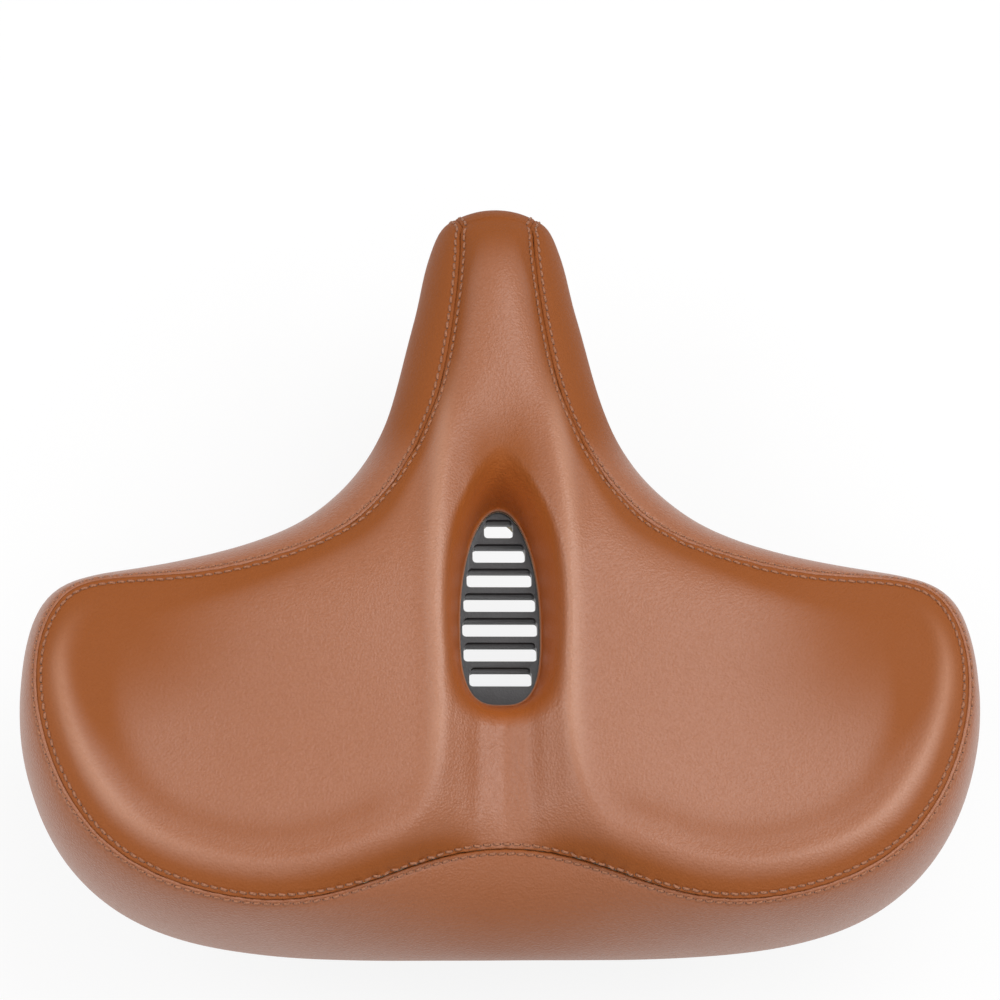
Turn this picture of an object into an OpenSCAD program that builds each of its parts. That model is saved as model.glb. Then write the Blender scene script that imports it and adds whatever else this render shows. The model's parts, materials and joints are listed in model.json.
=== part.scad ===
// Sprung bicycle saddle: a sewn padded cover over a moulded base with a slatted relief opening,
// bent steel rails, two coil springs and a tilting rail clamp for a round seat post.
// Units are millimetres. +Y points to the nose, +Z up, and the origin is the post bore's mouth.

/* [Seat outline] */
// Overall width across the rear wings
seat_w = 350; // [300:1:400]
// Overall length from nose to rear
seat_l = 284; // [250:1:330]
// Distance the nose tip lies ahead of the post axis
nose_y = 198.5; // [190:0.5:205]
// Height of the hem plane above the post bore's mouth
hem_h = 66; // [64:0.5:72]
// Height of the crown above the hem plane
pad_h = 60; // [54:0.5:68]
// How much lower the nose crown runs than the wings
nose_drop = 5; // [2:0.5:9]
// Thickness of the cover material
skin_t = 1.4; // [1:0.1:1.8]
// Width of the hem turned under the base edge
flange_w = 6.5; // [5:0.5:8]

/* [Relief slot] */
// Width of the relief slot at the cover's cut edge
slot_w = 29.4; // [24:0.2:32]
// Length of the relief slot
slot_l = 74.6; // [64:0.2:78]
// Distance of the slot's front end ahead of the post axis
slot_front = 77.6; // [75:0.2:80]
// Width over which the padding rolls down into the slot
slot_roll = 8; // [6:0.5:11]
// Height of the cut edge above the hem plane
slot_z = 29; // [28.5:0.5:34]
// Number of gaps between the slats
gap_count = 7; // [4:1:7]
// Distance between neighbouring gaps
gap_pitch = 9.5; // [8.8:0.1:9.6]
// Width of one gap
gap_w = 5.8; // [4:0.1:6.4]

/* [Base shell] */
// Thickness of the base plate
base_t = 3.5; // [2.8:0.1:4]
// Wall thickness of the rim and ribs
rib_t = 3; // [2:0.1:4]
// How far the base edge stands inside the widest outline
base_in = 9.5; // [9:0.1:11]

/* [Rails] */
// Diameter of the rail rod
rail_d = 7; // [6.6:0.1:7.4]
// Distance between the rail centres in the clamp
rail_gap = 44; // [43:0.5:46]
// Height of the rails' straight length above the post bore's mouth
rail_z = 30; // [29.5:0.5:31]
// Distance of the nose cross-tube ahead of the post axis
pivot_y = 140; // [134:1:146]
// Bend radius between the straight length and the rise to the nose
rail_bend = 30; // [22:1:38]

/* [Clamp] */
// Diameter of the seat post
post_d = 22.2; // [22.2, 25.4]
// Wall thickness of the post collar
collar_t = 2.9; // [2.4:0.1:3.4]
// Height of the post collar
collar_h = 34; // [30:0.5:36]
// Diameter of the clamp stud
stud_d = 8; // [7:0.5:8.5]
// Height of the clamp stud above the post bore's mouth
stud_z = 18; // [17:0.5:19]
// Distance from the post axis back to the stud
stud_back = 19; // [19:0.5:22]
// Length of the rail grooves in the cheeks
cheek_l = 34; // [30:1:38]

/* [Springs] */
// Distance of each spring axis from the centre plane
spring_x = 60; // [56:1:66]
// Distance of the spring axes behind the post axis
spring_back = 56; // [52:0.5:58]
// Outer diameter of the springs
spring_d = 31; // [28:0.5:33]
// Wire diameter of the springs
wire_d = 4; // [3:0.25:4.5]

/* [Hidden] */
$fn = 64;

// Stations from the nose tip round one side to the rear. Each row holds the widest point and then the
// seam point: percent of half width, percent of length from the nose, height above the hem plane.
STATIONS = [
    [0, 0, 28, 0, 3.3, 44],
    [5.1, 0.4, 28, 4, 3.6, 43.5],
    [8.9, 1.3, 27, 7.3, 4.6, 41],
    [11.8, 3, 26, 7.9, 7.2, 43.5],
    [13.8, 5.8, 24, 8.2, 10, 45],
    [15.4, 9.3, 24, 8.6, 12.9, 46],
    [16.8, 13.6, 24, 9.3, 16.4, 46.5],
    [18.5, 17.8, 24, 10.2, 20.1, 47],
    [21, 24.1, 24, 12, 26.1, 47.5],
    [24.2, 30.5, 24, 14.6, 31.5, 48],
    [28.9, 35.9, 24, 18.6, 37, 49],
    [35.4, 40.3, 24, 24.3, 42.4, 50],
    [45.1, 44.4, 25, 33.1, 47.5, 51],
    [58.9, 47.4, 26, 46.9, 51.3, 52.5],
    [74.3, 49.6, 27, 61.7, 53.6, 54],
    [86.9, 51.3, 27, 75.4, 54.4, 55],
    [94, 53.9, 27, 86.9, 55.5, 56],
    [98, 58.3, 27, 92.9, 59, 57],
    [99.8, 65, 27, 95.7, 64.6, 58],
    [100, 72, 27, 95.4, 71.3, 58.5],
    [97.7, 79, 26, 92.3, 78.3, 58.5],
    [92.6, 86.1, 24, 85.7, 85.7, 58.5],
    [84, 92.1, 20, 76, 91.1, 58],
    [71.4, 96.5, 17, 63.4, 94.5, 57.5],
    [54.9, 98.9, 14, 48, 96, 56],
    [36.6, 99.8, 12, 32, 94.3, 53],
    [18.3, 100, 12, 15.4, 90.3, 48],
    [0, 100, 12, 0, 88.6, 45]
];
HALF = len(STATIONS) - 1;
RING = 2 * HALF;
// Shares of the way from the seam to the slot's rolled edge at which the top rings lie, and then the
// rings' distances from the cut edge, as shares of the rolled edge's width
SHARES = [0, 0.03, 0.08, 0.17, 0.3, 0.46, 0.63, 0.82, 1];
ROLLS = [0.75, 0.55, 0.38, 0.2, 0];
SEAM_ROW = 7;
ROLL_ROW = SEAM_ROW + len(SHARES);
ROWS = ROLL_ROW + len(ROLLS);
TONGUE = 2;

nose_lift = 8.3;
step_y = 86;
plate_z = 10;
lip_z = skin_t + 0.3;
tuck = base_in - 1.5;
deck_t = 4.5;
turret_out = 2.6;
turret_t = 1.4;
slot_rear = slot_l * 0.4;
roll_end = slot_roll * 1.25;
slot_mid = slot_front - slot_l + slot_rear;
stud_y = -stud_back;
post_r = post_d / 2;
collar_r = post_r + collar_t;
rail_r = rail_d / 2;
rail_x = rail_gap / 2;
pivot_z = hem_h;
pivot_x = 17;
bridge_z = rail_z - rail_r;
bridge_t = 3;
spring_lo = bridge_z + 1.8;
spring_hi = hem_h - 2.6;
cheek_in = collar_r + 1.3;
cheek_out = rail_x + 9;

function unit(v) = v / norm(v);
function smooth(u) = let (v = min(1, max(0, u))) v * v * (3 - 2 * v);
function mix(a, b, t) = a + (b - a) * t;

// The station a place on the ring belongs to, and its side
function row_of(k) = let (m = (k + RING) % RING) m <= HALF ? m : RING - m;
function side_of(k) = (k + RING) % RING <= HALF ? 1 : -1;
function place(k, i) = let (s = STATIONS[row_of(k)])
    [side_of(k) * s[i] * seat_w / 200, nose_y - s[i + 1] * seat_l / 100];
function outer_xy(k) = place(k, 0);
function seam_xy(k) = place(k, 3);
function outer_z(k) = STATIONS[row_of(k)][2];
function seam_z(k) = STATIONS[row_of(k)][5] * pad_h / 60;
function outer_n(k) = let (d = outer_xy(k + 1) - outer_xy(k - 1)) unit([-d.y, d.x]);
function inset(d) = [for (k = [0 : RING - 1]) outer_xy(k) - d * outer_n(k)];
function hem_z(k) = nose_lift * smooth((outer_xy(k).y - 97) / 16);

// The slot's outline: rounder ahead of its widest place, squarer behind it
function slot_xy(a, off) = let (c = abs(cos(a)), s = abs(sin(a)), w = slot_w / 2 + off)
    sin(a) >= 0 ? [sign(cos(a)) * w * c, slot_mid + (slot_l - slot_rear + off) * s]
    : [sign(cos(a)) * w * pow(c, 0.667), slot_mid - (slot_rear + off) * pow(s, 0.667)];
function slot_angle(k) = let (m = row_of(k), p = seam_xy(m))
    mix(90 - 180 * m / HALF, atan2(p.y - slot_mid, p.x), 0.5);
function slot_at(k, off) = let (p = slot_xy(slot_angle(k), off)) [side_of(k) * abs(p.x), p.y];
function slot_outline(off) = [for (i = [0 : 47]) slot_xy(3.75 + i * 7.5, off)];

// Height of the padding's upper side above the hem plane
function crown(x, y) = pad_h - nose_drop * smooth((y - 55) / 60)
    - 2.5 * exp(-pow((abs(x) - 95) / 45, 2) - pow((y + 5) / 40, 2))
    - 11 * (1 - smooth((abs(x) - 7) / 19)) * smooth((12 - y) / 20)
    - 3 * (1 - smooth((abs(x) - 3) / 9)) * smooth((y - 75) / 8) * (1 - smooth((y - 115) / 36));
function padded_z(k, p) = let (rise = 1 - exp(-norm(seam_xy(k) - p) / (6 + 12 * smooth((p.y - 150) / 35))))
    mix(seam_z(k), crown(p.x, p.y), rise);
function top_point(k, t) = let (p = mix(seam_xy(k), slot_at(k, roll_end), t)) [p.x, p.y, padded_z(k, p)];
function roll_point(k, t) = let (p = slot_at(k, roll_end * t))
    [p.x, p.y, mix(slot_z, padded_z(k, p), smooth(t))];

// One point of the cover's section at a station, from the turned-under hem to the slot
function low_point(k, a) = let (p = outer_xy(k) - tuck * (1 - cos(a)) * outer_n(k))
    [p.x, p.y, mix(outer_z(k), hem_z(k), sin(a))];
function high_point(k, a) = let (p = mix(outer_xy(k), seam_xy(k), 1 - cos(a)))
    [p.x, p.y, mix(outer_z(k), seam_z(k), sin(a))];
function hem_point(k) = let (p = outer_xy(k) - (tuck + flange_w) * outer_n(k)) [p.x, p.y, hem_z(k)];
function cover_point(j, k) = j == 0 ? hem_point(k)
    : j < 4 ? low_point(k, 120 - 30 * j)
    : j <= SEAM_ROW ? high_point(k, 30 * (j - 4))
    : j < ROLL_ROW ? top_point(k, SHARES[j - SEAM_ROW])
    : roll_point(k, ROLLS[j - ROLL_ROW]);
GRID = [for (j = [0 : ROWS - 1]) [for (k = [0 : RING - 1]) cover_point(j, k) + [0, 0, hem_h]]];
function at(j, k) = GRID[j][(k + RING) % RING];
function cover_n(j, k) = let (along = at(min(j + 1, ROWS - 1), k) - at(max(j - 1, 0), k))
    unit(cross(along, at(j, k + 1) - at(j, k - 1)));
function layer(depth) = [for (j = [0 : ROWS - 1]) for (k = [0 : RING - 1]) at(j, k) - depth * cover_n(j, k)];

// Cells of the sewn panels: the top one runs down over the nose tip as a tongue
function in_tongue(k) = let (m = (k + RING) % RING) m < TONGUE || m >= RING - TONGUE;
function in_panel(top, j, k) = j < 0 || j > ROWS - 2 ? false : (j >= SEAM_ROW || in_tongue(k)) == top;
function id(j, k, inner) = (inner ? ROWS * RING : 0) + j * RING + (k + RING) % RING;
// The wall of a panel's edge, split on the same diagonal from whichever panel it is seen
function wall(a, b) = let (a0 = id(a[0], a[1], false), b0 = id(b[0], b[1], false),
        a1 = id(a[0], a[1], true), b1 = id(b[0], b[1], true))
    a0 < b0 ? [[b0, a0, b1], [a0, a1, b1]] : [[b0, a0, a1], [b0, a1, b1]];
function panel_faces(top) = [for (j = [0 : ROWS - 2]) for (k = [0 : RING - 1]) if (in_panel(top, j, k))
    each concat([
            [id(j, k, false), id(j, k + 1, false), id(j + 1, k + 1, false)],
            [id(j, k, false), id(j + 1, k + 1, false), id(j + 1, k, false)],
            [id(j, k, true), id(j + 1, k + 1, true), id(j, k + 1, true)],
            [id(j, k, true), id(j + 1, k, true), id(j + 1, k + 1, true)]],
        in_panel(top, j, k + 1) ? [] : wall([j, k + 1], [j + 1, k + 1]),
        in_panel(top, j, k - 1) ? [] : wall([j + 1, k], [j, k]),
        in_panel(top, j + 1, k) ? [] : wall([j + 1, k + 1], [j + 1, k]),
        in_panel(top, j - 1, k) ? [] : wall([j, k], [j, k + 1]))];

module panel(top) {
    polyhedron(points = concat(layer(0), layer(skin_t)), faces = panel_faces(top));
}

// A ring-shaped solid through a list of closed rings
module ring_solid(rings) {
    n = len(rings);
    m = len(rings[0]);
    polyhedron(points = [for (r = rings) each r],
        faces = [for (j = [0 : n - 1]) for (k = [0 : m - 1])
            let (next = (k + 1) % m, up = ((j + 1) % n) * m)
            each [[j * m + k, j * m + next, up + next], [j * m + k, up + next, up + k]]]);
}

// A round rod along a path of straight lengths and bends
module rod_between(a, b, r) {
    v = b - a;
    translate(a) rotate([0, acos(v.z / norm(v)), atan2(v.y, v.x)]) cylinder(r = r, h = norm(v));
}

function corner_cut(p0, p1, p2, bend) = bend / tan(acos(unit(p0 - p1) * unit(p2 - p1)) / 2);

module rod_elbow(p0, p1, p2, bend, r) {
    u = unit(p0 - p1);
    w = unit(p2 - p1);
    inner = acos(u * w);
    centre = p1 + unit(u + w) * bend / sin(inner / 2);
    ax = unit(p1 + u * bend / tan(inner / 2) - centre);
    az = unit(cross(w, u));
    ay = cross(az, ax);
    lap = 40 / bend;
    multmatrix([for (i = [0 : 2]) [ax[i], ay[i], az[i], centre[i]]])
        rotate([0, 0, -lap]) rotate_extrude(angle = 180 - inner + 2 * lap, $fn = 96)
            translate([bend, 0]) circle(r = r - 0.05);
}

module bent_rod(path, bends, r) {
    n = len(path);
    for (i = [0 : n - 2]) {
        a = path[i];
        b = path[i + 1];
        cut_a = i == 0 ? 0 : corner_cut(path[i - 1], a, b, bends[i]);
        cut_b = i == n - 2 ? 0 : corner_cut(a, b, path[i + 2], bends[i + 1]);
        rod_between(a + unit(b - a) * cut_a, b - unit(b - a) * cut_b, r);
    }
    for (i = [1 : n - 2]) rod_elbow(path[i - 1], path[i], path[i + 1], bends[i], r);
}

module along_x(x0, x1, y, z, r) {
    translate([x0, y, z]) rotate([0, 90, 0]) cylinder(r = r, h = x1 - x0);
}

module along_y(y0, y1, x, z, r) {
    translate([x, y1, z]) rotate([90, 0, 0]) cylinder(r = r, h = y1 - y0);
}

module box(x0, x1, y0, y1, z0, z1) {
    translate([x0, y0, z0]) cube([x1 - x0, y1 - y0, z1 - z0]);
}

module both_sides() {
    for (s = [-1, 1]) mirror([s < 0 ? 1 : 0, 0, 0]) children();
}

// ---- Post clamp ----

module post_collar() color("#3a3c40") {
    difference() {
        union() {
            cylinder(r = collar_r, h = collar_h);
            along_x(-cheek_in + 0.3, cheek_in - 0.3, stud_y, stud_z, 9.5);
            box(-cheek_in + 0.3, cheek_in - 0.3, stud_y, -6, stud_z - 9, stud_z + 9);
        }
        translate([0, 0, -1]) cylinder(r = post_r, h = collar_h + 2);
        box(-1, 1, -60, 0, -1, collar_h + 1);
        along_x(-40, 40, stud_y, stud_z, stud_d / 2 + 0.02);
    }
}

module clamp_stud() color("#b9bcc2") {
    along_x(-cheek_out - 13, cheek_out + 13, stud_y, stud_z, stud_d / 2);
}

module stud_nut(s) color("#c4c7cc") {
    difference() {
        union() {
            translate([s * (cheek_out + 2.2), stud_y, stud_z]) rotate([0, s * 90, 0]) {
                cylinder(r = 7.5, h = 6.8, $fn = 6);
                cylinder(r = 7.9, h = 1.2);
            }
        }
        along_x(-90, 90, stud_y, stud_z, stud_d / 2 + 0.05);
    }
}

module clamp_washers() color("#d0d2d6") both_sides() difference() {
    along_x(cheek_out + 0.05, cheek_out + 1.85, stud_y, stud_z, 8.5);
    along_x(0, 90, stud_y, stud_z, stud_d / 2 + 0.08);
}

// Corners of a cheek's jaw: share of its length from the stud, height from the rail
CHEEK = [[-0.5, -9], [-0.5, 4], [-0.38, 7.4], [0.38, 7.4], [0.5, 4], [0.5, -3], [0.36, -9]];

// One clamp cheek between two distances from the centre plane, on the +X side
module cheek(x0, x1) difference() {
    union() {
        along_x(x0, x1, stud_y, stud_z, 12.5);
        translate([x0, 0, 0]) rotate([90, 0, 90]) linear_extrude(x1 - x0)
            polygon([for (p = CHEEK) [stud_y + p[0] * cheek_l, rail_z + p[1]]]);
    }
    along_y(-90, 60, rail_x, rail_z, rail_r + 0.06);
    along_x(0, 90, stud_y, stud_z, stud_d / 2 + 0.08);
}

module inner_cheek() cheek(cheek_in, rail_x - 0.1);

module outer_cheek() difference() {
    cheek(rail_x + 0.1, cheek_out);
    // A pocket that lightens the outer face above the nut
    translate([cheek_out - 2, stud_y - cheek_l * 0.3, rail_z + 1.5]) cube([3, cheek_l * 0.6, 3.5]);
}

module inner_cheek_left() color("#54575d") mirror([1, 0, 0]) inner_cheek();

module inner_cheek_right() color("#54575d") inner_cheek();

module outer_cheek_left() color("#54575d") mirror([1, 0, 0]) outer_cheek();

module outer_cheek_right() color("#54575d") outer_cheek();

// ---- Rails, bridge and springs ----

module rail_frame() color("#26272a") {
    side = [[rail_x, -spring_back - 16, rail_z], [rail_x, 48, rail_z], [pivot_x, pivot_y, pivot_z]];
    other = [for (i = [2 : -1 : 0]) [-side[i].x, side[i].y, side[i].z]];
    bent_rod(concat(side, other), [0, rail_bend, 9, 9, rail_bend, 0], rail_r);
}

module rear_bridge() color("#2b2d31") difference() {
    union() {
        at_springs() translate([0, 0, bridge_z - bridge_t]) cylinder(r = 17, h = bridge_t - 0.05);
        translate([-spring_x, -spring_back - 14.5, bridge_z - bridge_t])
            cube([2 * spring_x, 29, bridge_t - 0.05]);
        for (y = [-14.5, 12]) {
            translate([-spring_x + 2, y - spring_back, bridge_z - bridge_t - 7])
                cube([2 * spring_x - 4, 2.5, bridge_t + 6]);
        }
    }
    both_sides() {
        translate([spring_x, -spring_back, 0]) cylinder(r = 3.1, h = 60);
        for (x = [-9.5, 9.5]) translate([rail_x + x, -spring_back, 0]) cylinder(r = 2.05, h = 60);
    }
}

module clip_box(half, reach, z0, z1) {
    box(rail_x - half, rail_x + half, -spring_back - reach, -spring_back + reach, z0, z1);
}

module rail_clips() color("#5a5d63") both_sides() difference() {
    union() {
        along_y(-spring_back - 8, -spring_back + 8, rail_x, rail_z, rail_r + 1.6);
        clip_box(rail_r + 1.5, 8, bridge_z, rail_z);
        clip_box(14, 8, bridge_z, bridge_z + 1.6);
    }
    along_y(-spring_back - 9, -spring_back + 9, rail_x, rail_z, rail_r + 0.06);
    clip_box(rail_r - 0.05, 9, bridge_z - 1, rail_z);
    clip_box(20, 9, 0, bridge_z);
    for (x = [-9.5, 9.5]) translate([rail_x + x, -spring_back, 0]) cylinder(r = 2.05, h = 60);
}

module rivet() {
    translate([0, 0, -bridge_t - 1.6]) cylinder(r = 3.2, h = 1.5);
    translate([0, 0, -bridge_t - 0.2]) cylinder(r = 2, h = bridge_t + 1.9);
    translate([0, 0, 1.7]) cylinder(r = 3.2, h = 1.4);
}

module clip_rivets() color("#8d9096") both_sides() for (x = [-9.5, 9.5]) {
    translate([rail_x + x, -spring_back, bridge_z]) rivet();
}

module at_springs() both_sides() translate([spring_x, -spring_back, 0]) children();

module spring_seats_lower() color("#3a3c40") at_springs() difference() {
    union() {
        translate([0, 0, bridge_z]) cylinder(r = spring_d / 2 + 0.8, h = 1.7);
        translate([0, 0, bridge_z]) cylinder(r = spring_d / 2 - wire_d - 0.7, h = 7);
    }
    translate([0, 0, bridge_z + 1.7]) cylinder(r = spring_d / 2 - wire_d - 2.4, h = 9);
    cylinder(r = 3.1, h = 60);
}

module bridge_bolts() color("#c4c7cc") at_springs() {
    translate([0, 0, bridge_z + 1.8]) cylinder(r = 5.7, h = 3.6, $fn = 6);
    translate([0, 0, bridge_z - 11]) cylinder(r = 3, h = 14);
}

module bridge_nuts() color("#c4c7cc") at_springs() difference() {
    translate([0, 0, bridge_z - bridge_t - 5.1]) cylinder(r = 5.7, h = 5, $fn = 6);
    cylinder(r = 3.02, h = 60);
}

module coil(s) color("#d7d9dd") translate([s * spring_x, -spring_back, spring_lo]) difference() {
    cylinder(r = spring_d / 2, h = spring_hi - spring_lo);
    translate([0, 0, -1]) cylinder(r = spring_d / 2 - wire_d, h = spring_hi - spring_lo + 2);
}

module spring_seats_upper() color("#3a3c40") at_springs() difference() {
    union() {
        translate([0, 0, hem_h - 2.3]) cylinder(r = spring_d / 2 + 0.6, h = 2);
        translate([0, 0, hem_h - 7.3]) cylinder(r = spring_d / 2 - wire_d - 0.7, h = 7);
    }
    translate([0, 0, hem_h - 11.3]) cylinder(r = spring_d / 2 - wire_d - 2.4, h = 9);
    cylinder(r = 2.75, h = 90);
}

module base_screws() color("#c4c7cc") at_springs() {
    translate([0, 0, hem_h - 5.4]) cylinder(r = 5, h = 3);
    translate([0, 0, hem_h - 3]) cylinder(r = 2.65, h = 12);
}

// ---- Nose mounting ----

strap_r = rail_r + 2.15;

module nose_strap() color("#5a5d63") difference() {
    union() {
        along_x(-6.5, 6.5, pivot_y, pivot_z, strap_r + 1.7);
        box(-6.5, 6.5, pivot_y - 17, pivot_y + 17, pivot_z - 1.9, pivot_z);
    }
    along_x(-8, 8, pivot_y, pivot_z, strap_r);
    box(-8, 8, pivot_y - 20, pivot_y + 20, pivot_z - 0.1, pivot_z + 20);
    for (y = [-12, 12]) translate([0, pivot_y + y, pivot_z - 10]) cylinder(r = 2.5, h = 20);
}

module nose_bush() color("#1d1d1f") difference() {
    along_x(-7, 7, pivot_y, pivot_z, rail_r + 2.1);
    along_x(-9, 9, pivot_y, pivot_z, rail_r + 0.08);
}

module strap_screws() color("#c4c7cc") for (y = [-12, 12]) translate([0, pivot_y + y, 0]) {
    translate([0, 0, pivot_z - 5]) cylinder(r = 4.2, h = 3);
    translate([0, 0, pivot_z - 3]) cylinder(r = 2.4, h = 12);
}

// ---- Base shell ----

module plate(d, z0, z1) translate([0, 0, hem_h + z0]) linear_extrude(z1 - z0) polygon(inset(d));

module slot_prism(off, z0, z1) {
    translate([0, 0, hem_h + z0]) linear_extrude(z1 - z0) polygon(slot_outline(off));
}

// Half width of the slot at a distance ahead of the post axis
function slot_half(y) = slot_w / 2 * (y > slot_mid
    ? sqrt(max(0, 1 - pow((y - slot_mid) / (slot_l - slot_rear), 2)))
    : pow(max(0, 1 - pow((slot_mid - y) / slot_rear, 3)), 0.333));
function gap_y(i) = slot_front - 4.2 - gap_w / 2 - i * gap_pitch;
function gap_half(i) = min(slot_half(gap_y(i) + gap_w / 2), slot_half(gap_y(i) - gap_w / 2)) - 0.8;

module gap_outline(w, h, r) polygon([for (q = [0 : 3]) for (a = [0 : 30 : 90])
    let (cx = (q == 0 || q == 3 ? 1 : -1) * (w - r), cy = (q < 2 ? 1 : -1) * (h - r))
    [cx + r * cos(q * 90 + a), cy + r * sin(q * 90 + a)]]);

module slat_gaps() for (i = [0 : gap_count - 1]) translate([0, gap_y(i), 0]) {
    translate([0, 0, hem_h]) linear_extrude(40) gap_outline(gap_half(i), gap_w / 2, 1.3);
    translate([0, 0.7, hem_h + slot_z - 4.4]) linear_extrude(20)
        gap_outline(gap_half(i) - 0.6, gap_w / 2 + 0.7, 1.3);
}

module rear_ring(d0, d1, z0, z1) difference() {
    plate(d0, z0, z1);
    plate(d1, z0 - 1, z1 + 1);
    box(-90, 90, step_y, nose_y + 30, hem_h - 20, hem_h + 40);
}

module base_ribs() {
    for (s = [-1, 1]) {
        box(s * 34 - rib_t / 2, s * 34 + rib_t / 2, -spring_back - 8, 60, hem_h + 3, hem_h + plate_z + 1);
        for (y = [-spring_back + 18, -8, 22]) {
            box(min(s * 33, s * 120), max(s * 33, s * 120), y, y + rib_t, hem_h + 4, hem_h + plate_z + 1);
        }
    }
}

module base_shell() color("#17181a") difference() {
    union() {
        plate(base_in, plate_z, plate_z + base_t);
        rear_ring(base_in, base_in + rib_t, lip_z, plate_z + 1);
        rear_ring(base_in + 1, base_in + 8, lip_z, lip_z + 2.5);
        intersection() {
            plate(base_in + 0.5, lip_z, plate_z + 1);
            box(-80, 80, step_y - rib_t, step_y, hem_h, hem_h + plate_z + 1);
        }
        base_ribs();
        at_springs() translate([0, 0, hem_h - 0.2]) cylinder(r = 13, h = plate_z + 1);
        box(-8, 8, pivot_y - 17.5, pivot_y + 17.5, pivot_z + 0.2, hem_h + plate_z + 1);
        slot_prism(turret_out, plate_z + 1, slot_z - 2);
    }
    slot_prism(turret_out - turret_t, -5, slot_z - 2 - deck_t);
    slat_gaps();
    along_x(-9, 9, pivot_y, pivot_z, strap_r);
    for (y = [-12, 12]) translate([0, pivot_y + y, pivot_z - 1]) cylinder(r = 2.5, h = 12);
    at_springs() translate([0, 0, hem_h - 1]) cylinder(r = 2.75, h = 11);
}

// ---- Padding and cover ----

// The foam's clearance to the cover, at its side and at the belly, and its foot's distance inside the outline
foam_gap = skin_t + 0.15;
belly_gap = skin_t + 1.45;
foam_in = skin_t + 3.8;
foam_z = hem_h + plate_z + base_t + 0.5;

function foam_at(j, k) = at(j, k) - (j == 4 ? belly_gap : foam_gap) * cover_n(j, k);
function foam_foot(p) = [p.x, p.y, foam_z];
function foam_ring(j) = [for (k = [0 : RING - 1]) let (p = foam_at(j, k)) [p.x, p.y, max(p.z, foam_z + 2)]];

module foam_cushion() color("#e9dfc4") ring_solid(concat(
    [[for (k = [0 : RING - 1]) foam_foot(outer_xy(k) - foam_in * outer_n(k))]],
    [for (j = [4 : ROWS - 3]) foam_ring(j)],
    [[for (k = [0 : RING - 1]) foam_foot(slot_at(k, roll_end * ROLLS[len(ROLLS) - 3]))]]));

module top_panel() color("#b5805a") panel(true);

module side_panel() color("#a9744f") panel(false);

module hem_staples() color("#c4c7cc") for (k = [1 : 2 : RING - 1]) if (hem_z(k + 1) == hem_z(k - 1)) {
    n = outer_n(k);
    p = outer_xy(k) - (tuck + flange_w * 0.55) * n;
    translate([p.x, p.y, hem_h + hem_z(k) - 0.35]) rotate([0, 0, atan2(n.y, n.x) + 90])
        cube([9, 1, 0.6], center = true);
}

post_collar();
clamp_stud();
stud_nut(-1);  // stud_nut_left
stud_nut(1);  // stud_nut_right
clamp_washers();
inner_cheek_left();
inner_cheek_right();
outer_cheek_left();
outer_cheek_right();
rail_frame();
rear_bridge();
rail_clips();
clip_rivets();
spring_seats_lower();
bridge_bolts();
bridge_nuts();
coil(-1);  // spring_left
coil(1);  // spring_right
spring_seats_upper();
base_screws();
nose_strap();
nose_bush();
strap_screws();
base_shell();
foam_cushion();
top_panel();
side_panel();
hem_staples();
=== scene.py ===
"""Sprung comfort bicycle saddle: sewn cover, padding, grille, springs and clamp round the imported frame.

All sizes in the classes are millimetres; meshes are made in metres, in the frame's own coordinates.
+Y points to the nose and +Z up.
"""
import json
import logging
import math
from dataclasses import dataclass, field
from enum import IntEnum
from typing import Mapping, Optional, Sequence, Union

import bmesh
import bpy
import numpy as np
from mathutils import Matrix, Quaternion, Vector, noise
from mathutils.bvhtree import BVHTree
from mathutils.geometry import delaunay_2d_cdt
from mathutils.kdtree import KDTree

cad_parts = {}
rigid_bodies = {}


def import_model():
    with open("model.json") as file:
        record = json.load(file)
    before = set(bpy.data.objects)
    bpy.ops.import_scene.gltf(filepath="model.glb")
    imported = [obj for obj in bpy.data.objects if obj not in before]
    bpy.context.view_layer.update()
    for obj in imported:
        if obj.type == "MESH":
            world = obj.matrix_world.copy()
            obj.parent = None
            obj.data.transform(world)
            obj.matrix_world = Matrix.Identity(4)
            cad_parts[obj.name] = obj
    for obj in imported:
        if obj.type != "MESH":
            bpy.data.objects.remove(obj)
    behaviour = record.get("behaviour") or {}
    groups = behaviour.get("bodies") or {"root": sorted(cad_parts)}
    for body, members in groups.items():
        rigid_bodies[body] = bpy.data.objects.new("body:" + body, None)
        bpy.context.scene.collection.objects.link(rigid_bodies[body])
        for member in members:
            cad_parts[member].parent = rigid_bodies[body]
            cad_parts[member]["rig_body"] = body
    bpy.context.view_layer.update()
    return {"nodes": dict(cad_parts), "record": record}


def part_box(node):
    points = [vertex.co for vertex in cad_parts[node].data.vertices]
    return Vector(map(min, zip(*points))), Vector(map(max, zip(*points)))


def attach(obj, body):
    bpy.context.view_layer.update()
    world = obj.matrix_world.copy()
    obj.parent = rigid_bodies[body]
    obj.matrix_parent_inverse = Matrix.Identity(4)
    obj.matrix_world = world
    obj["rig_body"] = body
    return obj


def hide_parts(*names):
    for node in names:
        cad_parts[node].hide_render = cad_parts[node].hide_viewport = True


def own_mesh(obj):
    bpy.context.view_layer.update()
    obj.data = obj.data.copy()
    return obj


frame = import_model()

LOG = logging.getLogger("saddle")
MM = 0.001
Colour = tuple[float, float, float]
Point = tuple[float, float, float]
Span = tuple[float, float]
# Masks on the cover's points: painted shade, the cut edge, the grain's creases, painted light in the slot's
# throat and a painted highlight along the crests.
MASKS = ("painted_shade", "cut", "crease", "throat_painted_light", "crest")


class Panel(IntEnum):
    """A panel of the cover, by the number that its faces carry."""

    SIDE = 0
    TOP = 1


# ---------------------------------------------------------------- shader wiring


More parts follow.
